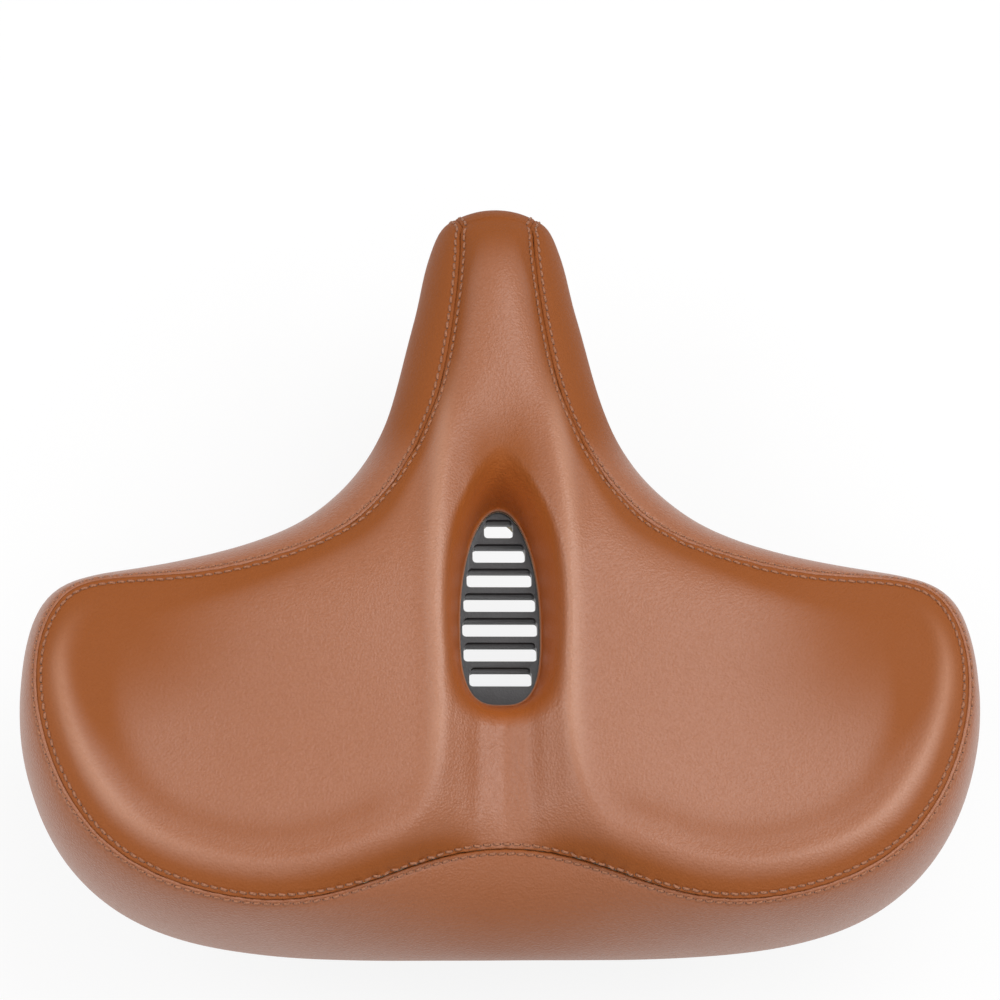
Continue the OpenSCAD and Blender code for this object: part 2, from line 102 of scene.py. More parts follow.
@dataclass(frozen=True)
class Signal:
    """One shader output that can be used in arithmetic."""

    net: "Network"
    socket: bpy.types.NodeSocket

    def __add__(self, other: "Value") -> "Signal":
        """Sum with another signal or number."""
        return self.net.maths("ADD", self, other)

    __radd__ = __add__

    def __sub__(self, other: "Value") -> "Signal":
        """Difference from another signal or number."""
        return self.net.maths("SUBTRACT", self, other)

    def __rsub__(self, other: "Value") -> "Signal":
        """A number less this signal."""
        return self.net.maths("SUBTRACT", other, self)

    def __mul__(self, other: "Value") -> "Signal":
        """Product with another signal or number."""
        return self.net.maths("MULTIPLY", self, other)

    __rmul__ = __mul__

    def __pow__(self, other: "Value") -> "Signal":
        """Power of this signal."""
        return self.net.maths("POWER", self, other)

    def between(self, low: float, high: float) -> "Signal":
        """A smooth ramp from 0 at low to 1 at high."""
        return self.net.node(
            "ShaderNodeMapRange",
            {"interpolation_type": "SMOOTHSTEP"},
            {"Value": self, "From Min": low, "From Max": high},
        )


Value = Union[Signal, float]


class Network:
    """The node tree of one material, written as expressions."""

    def __init__(self, name: str) -> None:
        """Start an empty material.

        Args:
            name: The material's name.
        """
        self.material = bpy.data.materials.new(name)
        self.material.use_nodes = True
        self.tree = self.material.node_tree
        self.tree.nodes.clear()

    def node(
        self,
        kind: str,
        settings: Optional[Mapping[str, object]] = None,
        inputs: Optional[Mapping[Union[str, int], object]] = None,
        output: Union[str, int] = 0,
    ) -> Signal:
        """Add a node.

        Args:
            kind: The node's type name.
            settings: Properties, set before the sockets.
            inputs: A value or a Signal for each named or numbered socket.
            output: The socket to give back.

        Returns:
            The wanted output as a Signal.
        """
        made = self.tree.nodes.new(kind)
        for key, value in (settings or {}).items():
            setattr(made, key, value)
        for key, value in (inputs or {}).items():
            if isinstance(value, Signal):
                self.tree.links.new(value.socket, made.inputs[key])
            else:
                made.inputs[key].default_value = value
        return Signal(self, made.outputs[output])

    def maths(self, operation: str, *values: Value) -> Signal:
        """Add a Math node for an operation on signals and numbers."""
        return self.node("ShaderNodeMath", {"operation": operation}, dict(enumerate(values)))

    def mix(self, share: Value, low: object, high: object) -> Signal:
        """Blend two colours, each a Signal or three numbers.

        Args:
            share: How much of the second colour.
            low: The first colour.
            high: The second colour.

        Returns:
            The blended colour.
        """
        ends = [c if isinstance(c, Signal) else (*c, 1.0) for c in (low, high)]
        sockets = {0: share, 6: ends[0], 7: ends[1]}
        return self.node("ShaderNodeMix", {"data_type": "RGBA"}, sockets, 2)

    def place(self, stretch: Point = (1.0, 1.0, 1.0)) -> Signal:
        """The point on the piece, in metres, with each axis scaled."""
        here = self.node("ShaderNodeTexCoord", output="Object")
        return self.node("ShaderNodeMapping", None, {"Vector": here, "Scale": stretch})

    def attribute(self, name: str) -> Signal:
        """A number stored on the mesh's points."""
        return self.node("ShaderNodeAttribute", {"attribute_name": name}, None, "Fac")

    def clouds(self, where: Signal, grain: float, detail: float = 3.0, rough: float = 0.55) -> Signal:
        """Soft noise from about 0 to 1.

        Args:
            where: The point that it is read at.
            grain: Lumps to the metre.
            detail: How many finer layers lie on the lumps.
            rough: How strong each finer layer is.

        Returns:
            The noise.
        """
        sockets = {"Vector": where, "Scale": grain, "Detail": detail, "Roughness": rough}
        return self.node("ShaderNodeTexNoise", None, sockets)

    def cells(self, where: Signal, grain: float) -> Signal:
        """Distance to the nearest middle in a pattern of cells, with grain cells to the metre."""
        return self.node("ShaderNodeTexVoronoi", None, {"Vector": where, "Scale": grain}, "Distance")

    def bump(self, height: Signal, depth_mm: float, under: Optional[Signal] = None) -> Signal:
        """Relief from a height signal.

        Args:
            height: The height, about 0 to 1.
            depth_mm: The relief's depth in millimetres.
            under: A bump that this one lies on.

        Returns:
            The bent normal.
        """
        sockets = {"Height": height, "Distance": depth_mm * MM, "Strength": 1.0}
        if under is not None:
            sockets["Normal"] = under
        return self.node("ShaderNodeBump", None, sockets)

    def finish(
        self, colour: Signal, roughness: Value, normal: Signal, **constants: object
    ) -> bpy.types.Material:
        """Close the material with one Principled shader, and give the material back."""
        self.close(self.shader(colour, roughness, normal, **constants))
        return self.material

    def shader(self, colour: Signal, roughness: Value, normal: Signal, **constants: object) -> Signal:
        """Add a Principled shader.

        Args:
            colour: Base colour.
            roughness: Roughness, a Signal or a number.
            normal: Bent normal.
            constants: Further sockets by name, with _ for a space.

        Returns:
            The shader.
        """
        sockets = {"Base Color": colour, "Roughness": roughness, "Normal": normal}
        sockets.update({key.replace("_", " "): value for key, value in constants.items()})
        return self.node("ShaderNodeBsdfPrincipled", None, sockets)

    def close(self, shader: Signal) -> None:
        """Join a shader to the material's output."""
        out = self.tree.nodes.new("ShaderNodeOutputMaterial")
        self.tree.links.new(shader.socket, out.inputs["Surface"])


# ---------------------------------------------------------------- finishes
# Grains are lumps or lines to the metre, and depths are millimetres.


@dataclass(frozen=True)
class Leather:
    """Smooth coated leather: fine pebble grain, soft mottling, painted shade in its hollows, painted light in
    the slot's throat and a painted highlight on its crests.
    """

    name: str
    # The first colour is the leather lit and the second the leather in painted shade; the third is painted
    # light for the slot's throat, the fourth a painted highlight for the crests, and the fifth the cut edge's
    # own colour.
    lit: Colour = (0.335, 0.120, 0.053)
    deep: Colour = (0.262, 0.071, 0.013)
    throat_painted_light: Colour = (0.43, 0.118, 0.021)
    painted_highlight: Colour = (0.60, 0.33, 0.22)
    edge: Colour = (0.30, 0.17, 0.11)
    rough: float = 0.40
    coat: float = 0.16
    coat_rough: float = 0.26
    mottle_grain: float = 22.0
    mottle_share: float = 0.35
    mottle_depth: float = 0.5
    fleck_grain: float = 900.0
    fleck_share: float = 0.36
    pore_grain: float = 1150.0
    pore_depth: float = 0.17
    drawn_grain: float = 420.0
    drawn_depth: float = 0.35
    across_grain: float = 380.0
    across_depth: float = 0.08
    fibre_stretch: float = 0.16

    def material(self) -> bpy.types.Material:
        """Make the material.

        Returns:
            The material, which reads the colour masks on the cover's points.
        """
        net = Network(self.name)
        here = net.place()
        painted_shade, cut, crease, throat_painted_light, crest = (net.attribute(name) for name in MASKS)
        mottle = net.clouds(here, self.mottle_grain, 4.0)
        fleck = net.clouds(here, self.fleck_grain, 2.0)
        pores = net.cells(here, self.pore_grain)
        drawn = net.clouds(net.place((1.0, self.fibre_stretch, 1.0)), self.drawn_grain)
        across = net.clouds(net.place((self.fibre_stretch, 1.0, 1.0)), self.across_grain)
        # Painted shade: the mask, with some random mottling, blends the lit colour into the shaded one.
        deep = painted_shade + (mottle - 0.5) * self.mottle_share
        tone = net.mix(deep.between(0.0, 1.0), self.lit, self.deep)
        tone = net.mix(fleck.between(0.35, 0.7) * self.fleck_share, tone, self.deep)
        # Painted light: the slot's throat is brightened to a warmer colour.
        tone = net.mix(throat_painted_light, tone, self.throat_painted_light)
        # Painted highlight along the crests.
        tone = net.mix(crest * (0.30 + mottle * 0.3), tone, self.painted_highlight)
        tone = net.mix(cut, tone, self.edge)
        rough = self.rough + (mottle - 0.5) * 0.10 + (fleck - 0.5) * 0.12 + painted_shade * 0.08
        grain = net.bump(pores, self.pore_depth)
        grain = net.bump(drawn * crease, self.drawn_depth, grain)
        grain = net.bump(across * (0.35 - 0.3 * painted_shade), self.across_depth, grain)
        grain = net.bump(mottle, self.mottle_depth, grain)
        shiny = net.shader(
            tone, rough, grain, Coat_Roughness=self.coat_rough, Coat_Weight=self.coat,
            Sheen_Weight=0.06, Sheen_Roughness=0.5, Specular_IOR_Level=0.5,
        )
        # Where the painted shade is strongest a duller shader with weaker reflections is mixed in, so the
        # reflections are shaded there too.
        dull = net.shader(tone, rough + 0.2, grain, Specular_IOR_Level=0.15)
        share = painted_shade.between(0.35, 1.0) * 0.85
        net.close(net.node("ShaderNodeMixShader", None, {0: share, 1: shiny, 2: dull}))
        return net.material


@dataclass(frozen=True)
class Thread:
    """Twisted bonded thread."""

    name: str = "thread_brown"
    light: Colour = (0.37, 0.145, 0.066)
    dark: Colour = (0.20, 0.07, 0.026)
    shade: Colour = (0.035, 0.012, 0.006)
    rough: float = 0.5
    strand_grain: float = 1800.0
    strand_depth: float = 0.12

    def material(self) -> bpy.types.Material:
        """Make the material.

        Returns:
            The material, which is darker where a stitch goes into its hole.
        """
        net = Network(self.name)
        strands = net.clouds(net.place(), self.strand_grain, 2.0)
        tone = net.mix(strands.between(0.3, 0.6), self.dark, self.light)
        tone = net.mix(net.attribute("hole"), tone, self.shade)
        relief = net.bump(strands, self.strand_depth)
        return net.finish(tone, self.rough + strands * 0.2, relief, Sheen_Weight=0.15)


@dataclass(frozen=True)
class MouldedPlastic:
    """Moulded plastic with a fine spark texture, flow marks and scuffed high spots."""

    name: str
    body: Colour = (0.024, 0.024, 0.027)
    scuff: Colour = (0.06, 0.06, 0.066)
    rough: float = 0.34
    flow_grain: float = 35.0
    spark_grain: float = 1400.0
    spark_depth: float = 0.035
    scratch_grain: float = 500.0
    scratch_depth: float = 0.03

    def material(self) -> bpy.types.Material:
        """Make the material.

        Returns:
            The material.
        """
        net = Network(self.name)
        here = net.place()
        flow = net.clouds(net.place((1.0, 0.3, 1.0)), self.flow_grain, 4.0)
        spark = net.cells(here, self.spark_grain)
        scratch = net.clouds(net.place((0.06, 1.0, 1.0)), self.scratch_grain, 4.0, 0.7)
        worn = flow.between(0.4, 0.75) * 0.6 + scratch.between(0.62, 0.72) * 0.35
        tone = net.mix(worn, self.body, self.scuff)
        rough = self.rough + (flow - 0.5) * 0.18 + scratch.between(0.6, 0.75) * 0.1
        relief = net.bump(scratch, self.scratch_depth, net.bump(spark, self.spark_depth))
        return net.finish(tone, rough, relief, Specular_IOR_Level=0.5)


@dataclass(frozen=True)
class CoatedSteel:
    """Black coated steel: orange peel in the coat and bare metal showing through at rubs."""

    name: str
    coat: Colour = (0.018, 0.018, 0.02)
    bare: Colour = (0.30, 0.30, 0.31)
    dusty: Colour = (0.07, 0.066, 0.06)
    rough: float = 0.32
    wear: float = 0.68
    peel_grain: float = 480.0
    peel_depth: float = 0.05
    rub_grain: float = 120.0
    dust_grain: float = 30.0

    def material(self) -> bpy.types.Material:
        """Make the material.

        Returns:
            The material.
        """
        net = Network(self.name)
        here = net.place()
        peel = net.clouds(here, self.peel_grain, 2.0)
        rubbed = net.clouds(here, self.rub_grain, 6.0, 0.7)
        dust = net.clouds(here, self.dust_grain, 4.0)
        rub = rubbed.between(self.wear, self.wear + 0.06) * 0.5
        coated = net.mix(dust.between(0.4, 0.8) * 0.25, self.coat, self.dusty)
        rough = self.rough + (dust - 0.5) * 0.2 + rub * 0.15
        return net.finish(
            net.mix(rub, coated, self.bare), rough, net.bump(peel, self.peel_depth),
            Metallic=rub, Coat_Weight=0.25, Coat_Roughness=0.2,
        )


@dataclass(frozen=True)
class Plating:
    """Bright plated steel with fine drawn lines and dull spots."""

    name: str
    bright: Colour = (0.63, 0.64, 0.66)
    dull: Colour = (0.42, 0.42, 0.43)
    rough: float = 0.24
    spot_grain: float = 160.0
    line_grain: float = 900.0
    line_depth: float = 0.015

    def material(self) -> bpy.types.Material:
        """Make the material.

        Returns:
            The material.
        """
        net = Network(self.name)
        spots = net.clouds(net.place(), self.spot_grain, 5.0, 0.65)
        lines = net.clouds(net.place((1.0, 1.0, 0.05)), self.line_grain)
        tone = net.mix(spots.between(0.45, 0.75), self.bright, self.dull)
        rough = self.rough + spots.between(0.4, 0.8) * 0.2 + (lines - 0.5) * 0.12
        return net.finish(tone, rough, net.bump(lines, self.line_depth), Metallic=1.0)


@dataclass(frozen=True)
class MouldedFoam:
    """Open-cell moulded foam with a skin full of pinholes."""

    name: str = "foam_cream"
    light: Colour = (0.62, 0.55, 0.38)
    dark: Colour = (0.40, 0.33, 0.20)
    rough: float = 0.85
    hole_grain: float = 700.0
    hole_depth: float = 0.4
    cloud_grain: float = 40.0

    def material(self) -> bpy.types.Material:
        """Make the material.

        Returns:
            The material.
        """
        net = Network(self.name)
        here = net.place()
        holes = net.cells(here, self.hole_grain)
        cloud = net.clouds(here, self.cloud_grain, 4.0)
        shade = cloud.between(0.3, 0.7) * 0.5 + (1.0 - holes.between(0.1, 0.35)) * 0.4
        tone = net.mix(shade, self.light, self.dark)
        return net.finish(tone, self.rough + (cloud - 0.5) * 0.1, net.bump(holes, self.hole_depth))


# ---------------------------------------------------------------- mesh helpers


def smoothstep(values: np.ndarray) -> np.ndarray:
    """A smooth ramp from 0 to 1 over the range 0 to 1."""
    held = np.clip(values, 0.0, 1.0)
    return held * held * (3.0 - 2.0 * held)


def ramp(values: np.ndarray, start: float, length: Union[float, np.ndarray]) -> np.ndarray:
    """A smooth ramp from 0 at start to 1 a length further on, or further back if it is negative."""
    return smoothstep((values - start) / length)


def hump(values: np.ndarray, centre: float, width: Union[float, np.ndarray]) -> np.ndarray:
    """A bell of height 1 at a centre."""
    return np.exp(-(((values - centre) / width) ** 2))


def run_of(line: np.ndarray) -> np.ndarray:
    """Distance along a line at each of its places."""
    return np.concatenate([[0], np.cumsum(np.linalg.norm(np.diff(line, axis=0), axis=1))])


def left_of(step: np.ndarray) -> np.ndarray:
    """The level direction to the left of each step, one long."""
    away = np.stack([-step[..., 1], step[..., 0]], -1)
    return away / np.linalg.norm(away, axis=-1, keepdims=True)


def to_metres(mesh: bmesh.types.BMesh) -> None:
    """Turn a mesh made in millimetres into metres."""
    bmesh.ops.scale(mesh, vec=(MM, MM, MM), verts=mesh.verts)


def rim_pairs(verts: Sequence[bmesh.types.BMVert]) -> list[tuple[int, int]]:
    """The open edges among points.

    Args:
        verts: The points.

    Returns:
        Each edge's two ends, as places in the list of points.
    """
    place = {v: i for i, v in enumerate(verts)}
    edges = dict.fromkeys(e for v in verts for e in v.link_edges if e.is_boundary)
    return [(place[e.verts[0]], place[e.verts[1]]) for e in edges]


def inside(points: np.ndarray, loop: np.ndarray) -> np.ndarray:
    """Which level places lie inside a closed line.

    Args:
        points: The places.
        loop: The line's own places, in order.

    Returns:
        True or false for each place.
    """
    x, y = points.T
    result = np.zeros(len(points), bool)
    for (x0, y0), (x1, y1) in zip(loop, np.roll(loop, -1, 0)):
        if y0 != y1:
            crossing = (y0 > y) != (y1 > y)
            result ^= crossing & (x < (x1 - x0) * (y - y0) / (y1 - y0) + x0)
    return result


def nearest(
    points: np.ndarray, line: np.ndarray, values: Optional[np.ndarray] = None, soft: float = 2.0
) -> tuple[np.ndarray, np.ndarray]:
    """Distance from points to the closest place of a line, and an average of values about there.

    Args:
        points: Level places.
        line: Places on the line.
        values: A row of values for each place on the line.
        soft: How quickly the average lets go of places that lie further away, in millimetres.

    Returns:
        The distances and the averaged values.
    """
    values = np.zeros((len(line), 1)) if values is None else values
    away, level = np.zeros(len(points)), np.zeros((len(points), values.shape[1]))
    batch = 2000
    for i in range(0, len(points), batch):
        d = np.linalg.norm(points[i:i + batch, None] - line[None], axis=2)
        low = d.min(1, keepdims=True)
        w = np.exp(-(d - low) / soft)
        away[i:i + batch] = low[:, 0]
        level[i:i + batch] = (w @ values) / w.sum(1, keepdims=True)
    return away, level


class Pieces:
    """Turns finished bmeshes and CAD nodes into pieces that ride on their bodies."""

    def __init__(self) -> None:
        """Look up which slot each node takes its finish from."""
        self.slots = {row["node"]: row["material_slot"] for row in frame["record"]["subparts"]}

    def add(
        self,
        mesh: bmesh.types.BMesh,
        name: str,
        body: str,
        slot: str,
        material: bpy.types.Material,
        stands_for: Sequence[str] = (),
        sharp: float = 35.0,
    ) -> bpy.types.Object:
        """Make a piece of a bmesh.

        Args:
            mesh: The finished shape, in metres; it is freed.
            name: The piece's name.
            body: The body that it rides on.
            slot: The record's material slot; not used.
            material: The finish.
            stands_for: The CAD nodes that it replaces.
            sharp: Edges that turn more than this many degrees stay sharp.

        Returns:
            The new object.
        """
        data = bpy.data.meshes.new(name)
        mesh.to_mesh(data)
        mesh.free()
        data.materials.append(material)
        data.shade_smooth()
        data.set_sharp_from_angle(angle=math.radians(sharp))
        piece = bpy.data.objects.new(name, data)
        bpy.context.scene.collection.objects.link(piece)
        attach(piece, body)
        if stands_for:
            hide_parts(*stands_for)
        LOG.info("%s: %d faces on %s", name, len(data.polygons), body)
        return piece

    def softened(
        self, node: str, name: str, material: bpy.types.Material, radius: float, rounds: int = 2
    ) -> bpy.types.Object:
        """A copy of a CAD node with its edges rounded over, which replaces it.

        Args:
            node: The CAD node.
            name: The new piece's name.
            material: The finish.
            radius: Width of the rounded edges in millimetres.
            rounds: Segments in each rounded edge.

        Returns:
            The new object.
        """
        source = frame["nodes"][node]
        mesh = bmesh.new()
        mesh.from_mesh(source.data)
        bmesh.ops.remove_doubles(mesh, verts=mesh.verts, dist=1e-6)
        bmesh.ops.dissolve_limit(
            mesh, angle_limit=math.radians(1.0), verts=mesh.verts, edges=mesh.edges,
            use_dissolve_boundaries=False,
        )
        piece = self.add(mesh, name, source["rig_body"], self.slots[node], material, [node])
        cut = piece.modifiers.new("Softened edges", "BEVEL")
        cut.width, cut.segments, cut.limit_method = radius * MM, rounds, "ANGLE"
        cut.angle_limit = math.radians(38.0)
        cut.harden_normals = False
        return piece


# ---------------------------------------------------------------- the cover's outlines


# Stations from the nose tip round one side to the rear: the widest point and the seam point, each as
# percent of half width, percent of length from the nose, and millimetres above the hem plane.
STATIONS = (
    (0, 0, 28, 0, 3.3, 44), (5.1, 0.4, 28, 4, 3.6, 43.5), (8.9, 1.3, 27, 7.3, 4.6, 41),
    (11.8, 3, 26, 7.9, 7.2, 43.5), (13.8, 5.8, 24, 8.2, 10, 45), (15.4, 9.3, 24, 8.6, 12.9, 46),
    (16.8, 13.6, 24, 9.3, 16.4, 46.5), (18.5, 17.8, 24, 10.2, 20.1, 47), (21, 24.1, 24, 12, 26.1, 47.5),
    (24.2, 30.5, 24, 14.6, 31.5, 48), (28.9, 35.9, 24, 18.6, 37, 49), (35.4, 40.3, 24, 24.3, 42.4, 50),
    (45.1, 44.4, 25, 33.1, 47.5, 51), (58.9, 47.4, 26, 46.9, 51.3, 52.5), (74.3, 49.6, 27, 61.7, 53.6, 54),
    (86.9, 51.3, 27, 75.4, 54.4, 55), (94, 53.9, 27, 86.9, 55.5, 56), (98, 58.3, 27, 92.9, 59, 57),
    (99.8, 65, 27, 95.7, 64.6, 58), (100, 72, 27, 95.4, 71.3, 58.5), (97.7, 79, 26, 92.3, 78.3, 58.5),
    (92.6, 86.1, 24, 85.7, 85.7, 58.5), (84, 92.1, 20, 76, 91.1, 58), (71.4, 96.5, 17, 63.4, 94.5, 57.5),
    (54.9, 98.9, 14, 48, 96, 56), (36.6, 99.8, 12, 32, 94.3, 53), (18.3, 100, 12, 15.4, 90.3, 48),
    (0, 100, 12, 0, 88.6, 45),
)
# A station's columns, alone and together.
WIDE_X, WIDE_Y, WIDE_Z, SEAM_X, SEAM_Y, SEAM_Z = range(6)
WIDE, SEAM, SEAM_LEVEL = slice(WIDE_X, SEAM_X), slice(SEAM_X, None), slice(SEAM_X, SEAM_Z)


@dataclass
class Outline:
    """The closed ring of widest points and seam points round the saddle."""

    nose_y: float
    length: float
    width: float
    hem_z: float
    fine: int = 32
    ease: float = 9.0
    tip_back: float = 2.4
    tip_span: float = 13.0
    skirt_drop: float = 5.0
    skirt_from: float = -45.0
    skirt_span: float = 30.0
    wing_back: float = 4.0
    wing_station: float = 14.0
    wing_stations: float = 3.6
    rear_back: float = 1.3
    rear_more: float = 0.5
    rear_from: float = 20.0
    rear_span: float = 60.0
    corner_lift: float = 0.3
    corner_station: int = 2
    table: np.ndarray = field(init=False)

    def __post_init__(self) -> None:
        """Run smooth curves through the stations."""
        rows = np.array(STATIONS, float)
        for x, y, z in ((WIDE_X, WIDE_Y, WIDE_Z), (SEAM_X, SEAM_Y, SEAM_Z)):
            rows[:, x] *= self.width / 200.0
            rows[:, y] = self.nose_y - rows[:, y] * self.length / 100.0
            rows[:, z] += self.hem_z
        tip = smoothstep((rows[:, WIDE_Y] - self.nose_y + self.tip_span) / self.tip_span)
        rows[:, WIDE_Y] -= self.tip_back * tip
        rows[self.corner_station, SEAM_Z] += self.corner_lift
        wing = hump(np.arange(len(rows)), self.wing_station, self.wing_stations)
        rows[:, WIDE_Y] -= self.wing_back * wing
        behind = ramp(rows[:, WIDE_Y], self.rear_from, -self.rear_span)
        rows[:, SEAM_Y] -= self.rear_back * behind
        rows[:, WIDE_Y] -= (self.rear_back + self.rear_more) * behind
        rows[:, WIDE_Z] -= self.skirt_drop * ramp(rows[:, WIDE_Y], self.skirt_from, -self.skirt_span)
        left = rows[-2:0:-1] * np.array([-1, 1, 1, -1, 1, 1])
        self.table = self._eased(self._spline(np.vstack([rows, left])))

    @property
    def count(self) -> int:
        """How many stations the whole ring has."""
        return 2 * (len(STATIONS) - 1)

    def _spline(self, ring: np.ndarray) -> np.ndarray:
        """Closed cubic curves through each column of a ring.

        Args:
            ring: One row for each station.

        Returns:
            Rows at fine steps between the stations.
        """
        n = len(ring)
        system = 4 * np.eye(n) + np.roll(np.eye(n), 1, 0) + np.roll(np.eye(n), -1, 0)
        bend = np.linalg.solve(system, 6 * (np.roll(ring, 1, 0) - 2 * ring + np.roll(ring, -1, 0)))
        t = (np.arange(self.fine) / self.fine)[None, :, None]
        a, b = ring[:, None], np.roll(ring, -1, 0)[:, None]
        ma, mb = bend[:, None], np.roll(bend, -1, 0)[:, None]
        curve = a * (1 - t) + b * t + ((1 - t) ** 3 - (1 - t)) * ma / 6 + (t**3 - t) * mb / 6
        return curve.reshape(n * self.fine, -1)

    def _eased(self, curve: np.ndarray) -> np.ndarray:
        """Take small waves out of a closed curve.

        Args:
            curve: Its rows at fine steps.

        Returns:
            As many rows, each a weighted average of its neighbours.
        """
        reach = int(self.ease * 3)
        weights = hump(np.arange(-reach, reach + 1.0), 0.0, self.ease)
        weights /= weights.sum()
        return sum(w * np.roll(curve, i - reach, 0) for i, w in enumerate(weights))

    def at(self, u: np.ndarray) -> np.ndarray:
        """The ring's rows between the stations.

        Args:
            u: Places counted in stations.

        Returns:
            A row for each place.
        """
        n = len(self.table)
        x = (np.asarray(u, float) * self.fine) % n
        low = np.floor(x).astype(int) % n
        part = (x - np.floor(x))[..., None]
        return self.table[low] * (1 - part) + self.table[(low + 1) % n] * part

    def outward(self, u: np.ndarray, reach: float = 0.08) -> np.ndarray:
        """The level direction out of the ring, at places counted in stations."""
        return left_of(self.at(np.asarray(u) + reach)[..., :2] - self.at(np.asarray(u) - reach)[..., :2])

    def half_columns(self, seam_u: float, steps: Sequence[float], pitch: float) -> np.ndarray:
        """Places of mesh columns on one side, close together beside the tongue's seam.

        Args:
            seam_u: The tongue's seam, counted in stations.
            steps: Distances from that seam that need a column.
            pitch: Spacing elsewhere.

        Returns:
            Places counted in stations, from the nose to the rear.
        """
        u = np.linspace(0, self.count / 2, 6000)
        run = run_of(self.at(u)[:, WIDE])
        seam = np.interp(seam_u, u, run)
        reach = steps[-1]
        spots = [seam + s * sign for s in steps for sign in (-1, 1)] + [seam]
        spots += list(np.linspace(0, seam - reach, 5)[:-1])
        spots += list(np.linspace(seam + reach, run[-1], int((run[-1] - seam - reach) / pitch))[1:])
        return np.interp(sorted(spots), run, u)


@dataclass
class Slot:
    """The relief opening's outline: rounder ahead of its widest place, squarer behind."""

    half_width: float = 14.7
    front: float = 77.6
    length: float = 74.6
    edge_z: float = 29.0
    square: float = 3.0
    rear_share: float = 0.4

    @property
    def rear_reach(self) -> float:
        """Length behind the widest place."""
        return self.length * self.rear_share

    @property
    def middle(self) -> float:
        """Distance of the widest place ahead of the post."""
        return self.front - self.length + self.rear_reach

    def ring(self, count: int, off: float = 0.0) -> np.ndarray:
        """Points round the opening.

        Args:
            count: How many points.
            off: Distance outside the edge.

        Returns:
            Level places, count rows.
        """
        a = np.linspace(0, 2 * math.pi, 4001)
        c, s = np.cos(a), np.sin(a)
        ahead = s >= 0
        power = 2.0 / self.square
        x = np.sign(c) * np.where(ahead, np.abs(c), np.abs(c) ** power) * self.half_width
        y = np.where(ahead, s * (self.length - self.rear_reach), -(np.abs(s) ** power) * self.rear_reach)
        loop = np.stack([x, y + self.middle], 1)
        run = run_of(loop)
        spots = np.linspace(0, run[-1], count, endpoint=False)
        loop = np.stack([np.interp(spots, run, loop[:, i]) for i in (0, 1)], 1)
        step = np.roll(loop, -1, 0) - np.roll(loop, 1, 0)
        away = np.stack([step[:, 1], -step[:, 0]], 1)
        return loop + off * away / np.linalg.norm(away, axis=1, keepdims=True)


# ---------------------------------------------------------------- the cover's form


@dataclass(frozen=True)
class Dish:
    """A soft oval dip, the same on both sides of the middle."""

    deep: float
    side: float
    y: float
    wide: float
    long: float

    def at(self, side: np.ndarray, y: np.ndarray) -> np.ndarray:
        """Its depth at distances from the middle and ahead of the post."""
        across = ((side - self.side) / self.wide) ** 2
        return self.deep * np.exp(-across - ((y - self.y) / self.long) ** 2)


@dataclass(frozen=True)
class Channel:
    """The relief channel along the middle, with a ridge on each side; each list runs from the rear."""

    ridge_y: tuple[float, ...] = (-60.0, -48.0, -35.0, -12.0, 36.0, 75.0, 113.0, 165.0, 190.0)
    ridge_side: tuple[float, ...] = (41.0, 32.5, 26.0, 22.5, 23.7, 23.0, 19.0, 10.5, 8.0)
    deep_y: tuple[float, ...] = (-50, -28, -6, 3, 40, 78, 88, 104, 125, 165)
    deep: tuple[float, ...] = (12, 11, 9, 7, 4.5, 4.5, 3.6, 2.0, 0.9, 0.25)
    high_y: tuple[float, ...] = (-50, 0, 90, 165, 180)
    high: tuple[float, ...] = (0.5, 1.5, 1.5, 0.6, 0)
    high_off: float = 1.0
    high_wide: float = 4.6
    ease: float = 9.0
    flatness: float = 0.8

    def ridge(self, y: np.ndarray) -> np.ndarray:
        """Distance of the ridges from the middle."""
        steps = (-self.ease, -self.ease / 2, 0.0, self.ease / 2, self.ease)
        return sum(np.interp(y + step, self.ridge_y, self.ridge_side) for step in steps) / len(steps)

    def dip(self, side: np.ndarray, y: np.ndarray) -> np.ndarray:
        """How far the channel lies below its ridges."""
        across = 0.5 + 0.5 * np.cos(math.pi * np.clip(side / self.ridge(y), 0, 1))
        return np.interp(y, self.deep_y, self.deep) * across**self.flatness

    def swell(self, side: np.ndarray, y: np.ndarray) -> np.ndarray:
        """How far the ridges stand up."""
        across = hump(side, self.ridge(y) + self.high_off, self.high_wide)
        return np.interp(y, self.high_y, self.high) * across


@dataclass(frozen=True)
class Crown:
    """The padding's form away from the seam and the slot."""

    top: float = 60.0
    nose_drop: float = 5.0
    nose_from: float = 55.0
    nose_span: float = 60.0
    wings: tuple[Dish, ...] = (Dish(2.8, 100, -8, 42, 34), Dish(3.0, 128, 42, 34, 22))
    channel: Channel = Channel()
    shoulder_deep: float = 2.4
    shoulder_side: float = 42.0
    shoulder_lean: float = 0.13
    shoulder_wide: float = 8.0
    shoulder_y: float = 84.0
    shoulder_long: float = 22.0

    def at(self, x: np.ndarray, y: np.ndarray) -> np.ndarray:
        """Height of the padding above the hem plane.

        Args:
            x: Distances to the right of the middle.
            y: Distances ahead of the post.

        Returns:
            The heights.
        """
        side = np.abs(x)
        height = self.top - self.nose_drop * ramp(y, self.nose_from, self.nose_span)
        for wing in self.wings:
            height -= wing.at(side, y)
        height -= self.channel.dip(side, y)
        height += self.channel.swell(side, y)
        shoulder = hump(side, self.shoulder_side - self.shoulder_lean * y, self.shoulder_wide)
        height -= self.shoulder_deep * shoulder * hump(y, self.shoulder_y, self.shoulder_long)
        return height


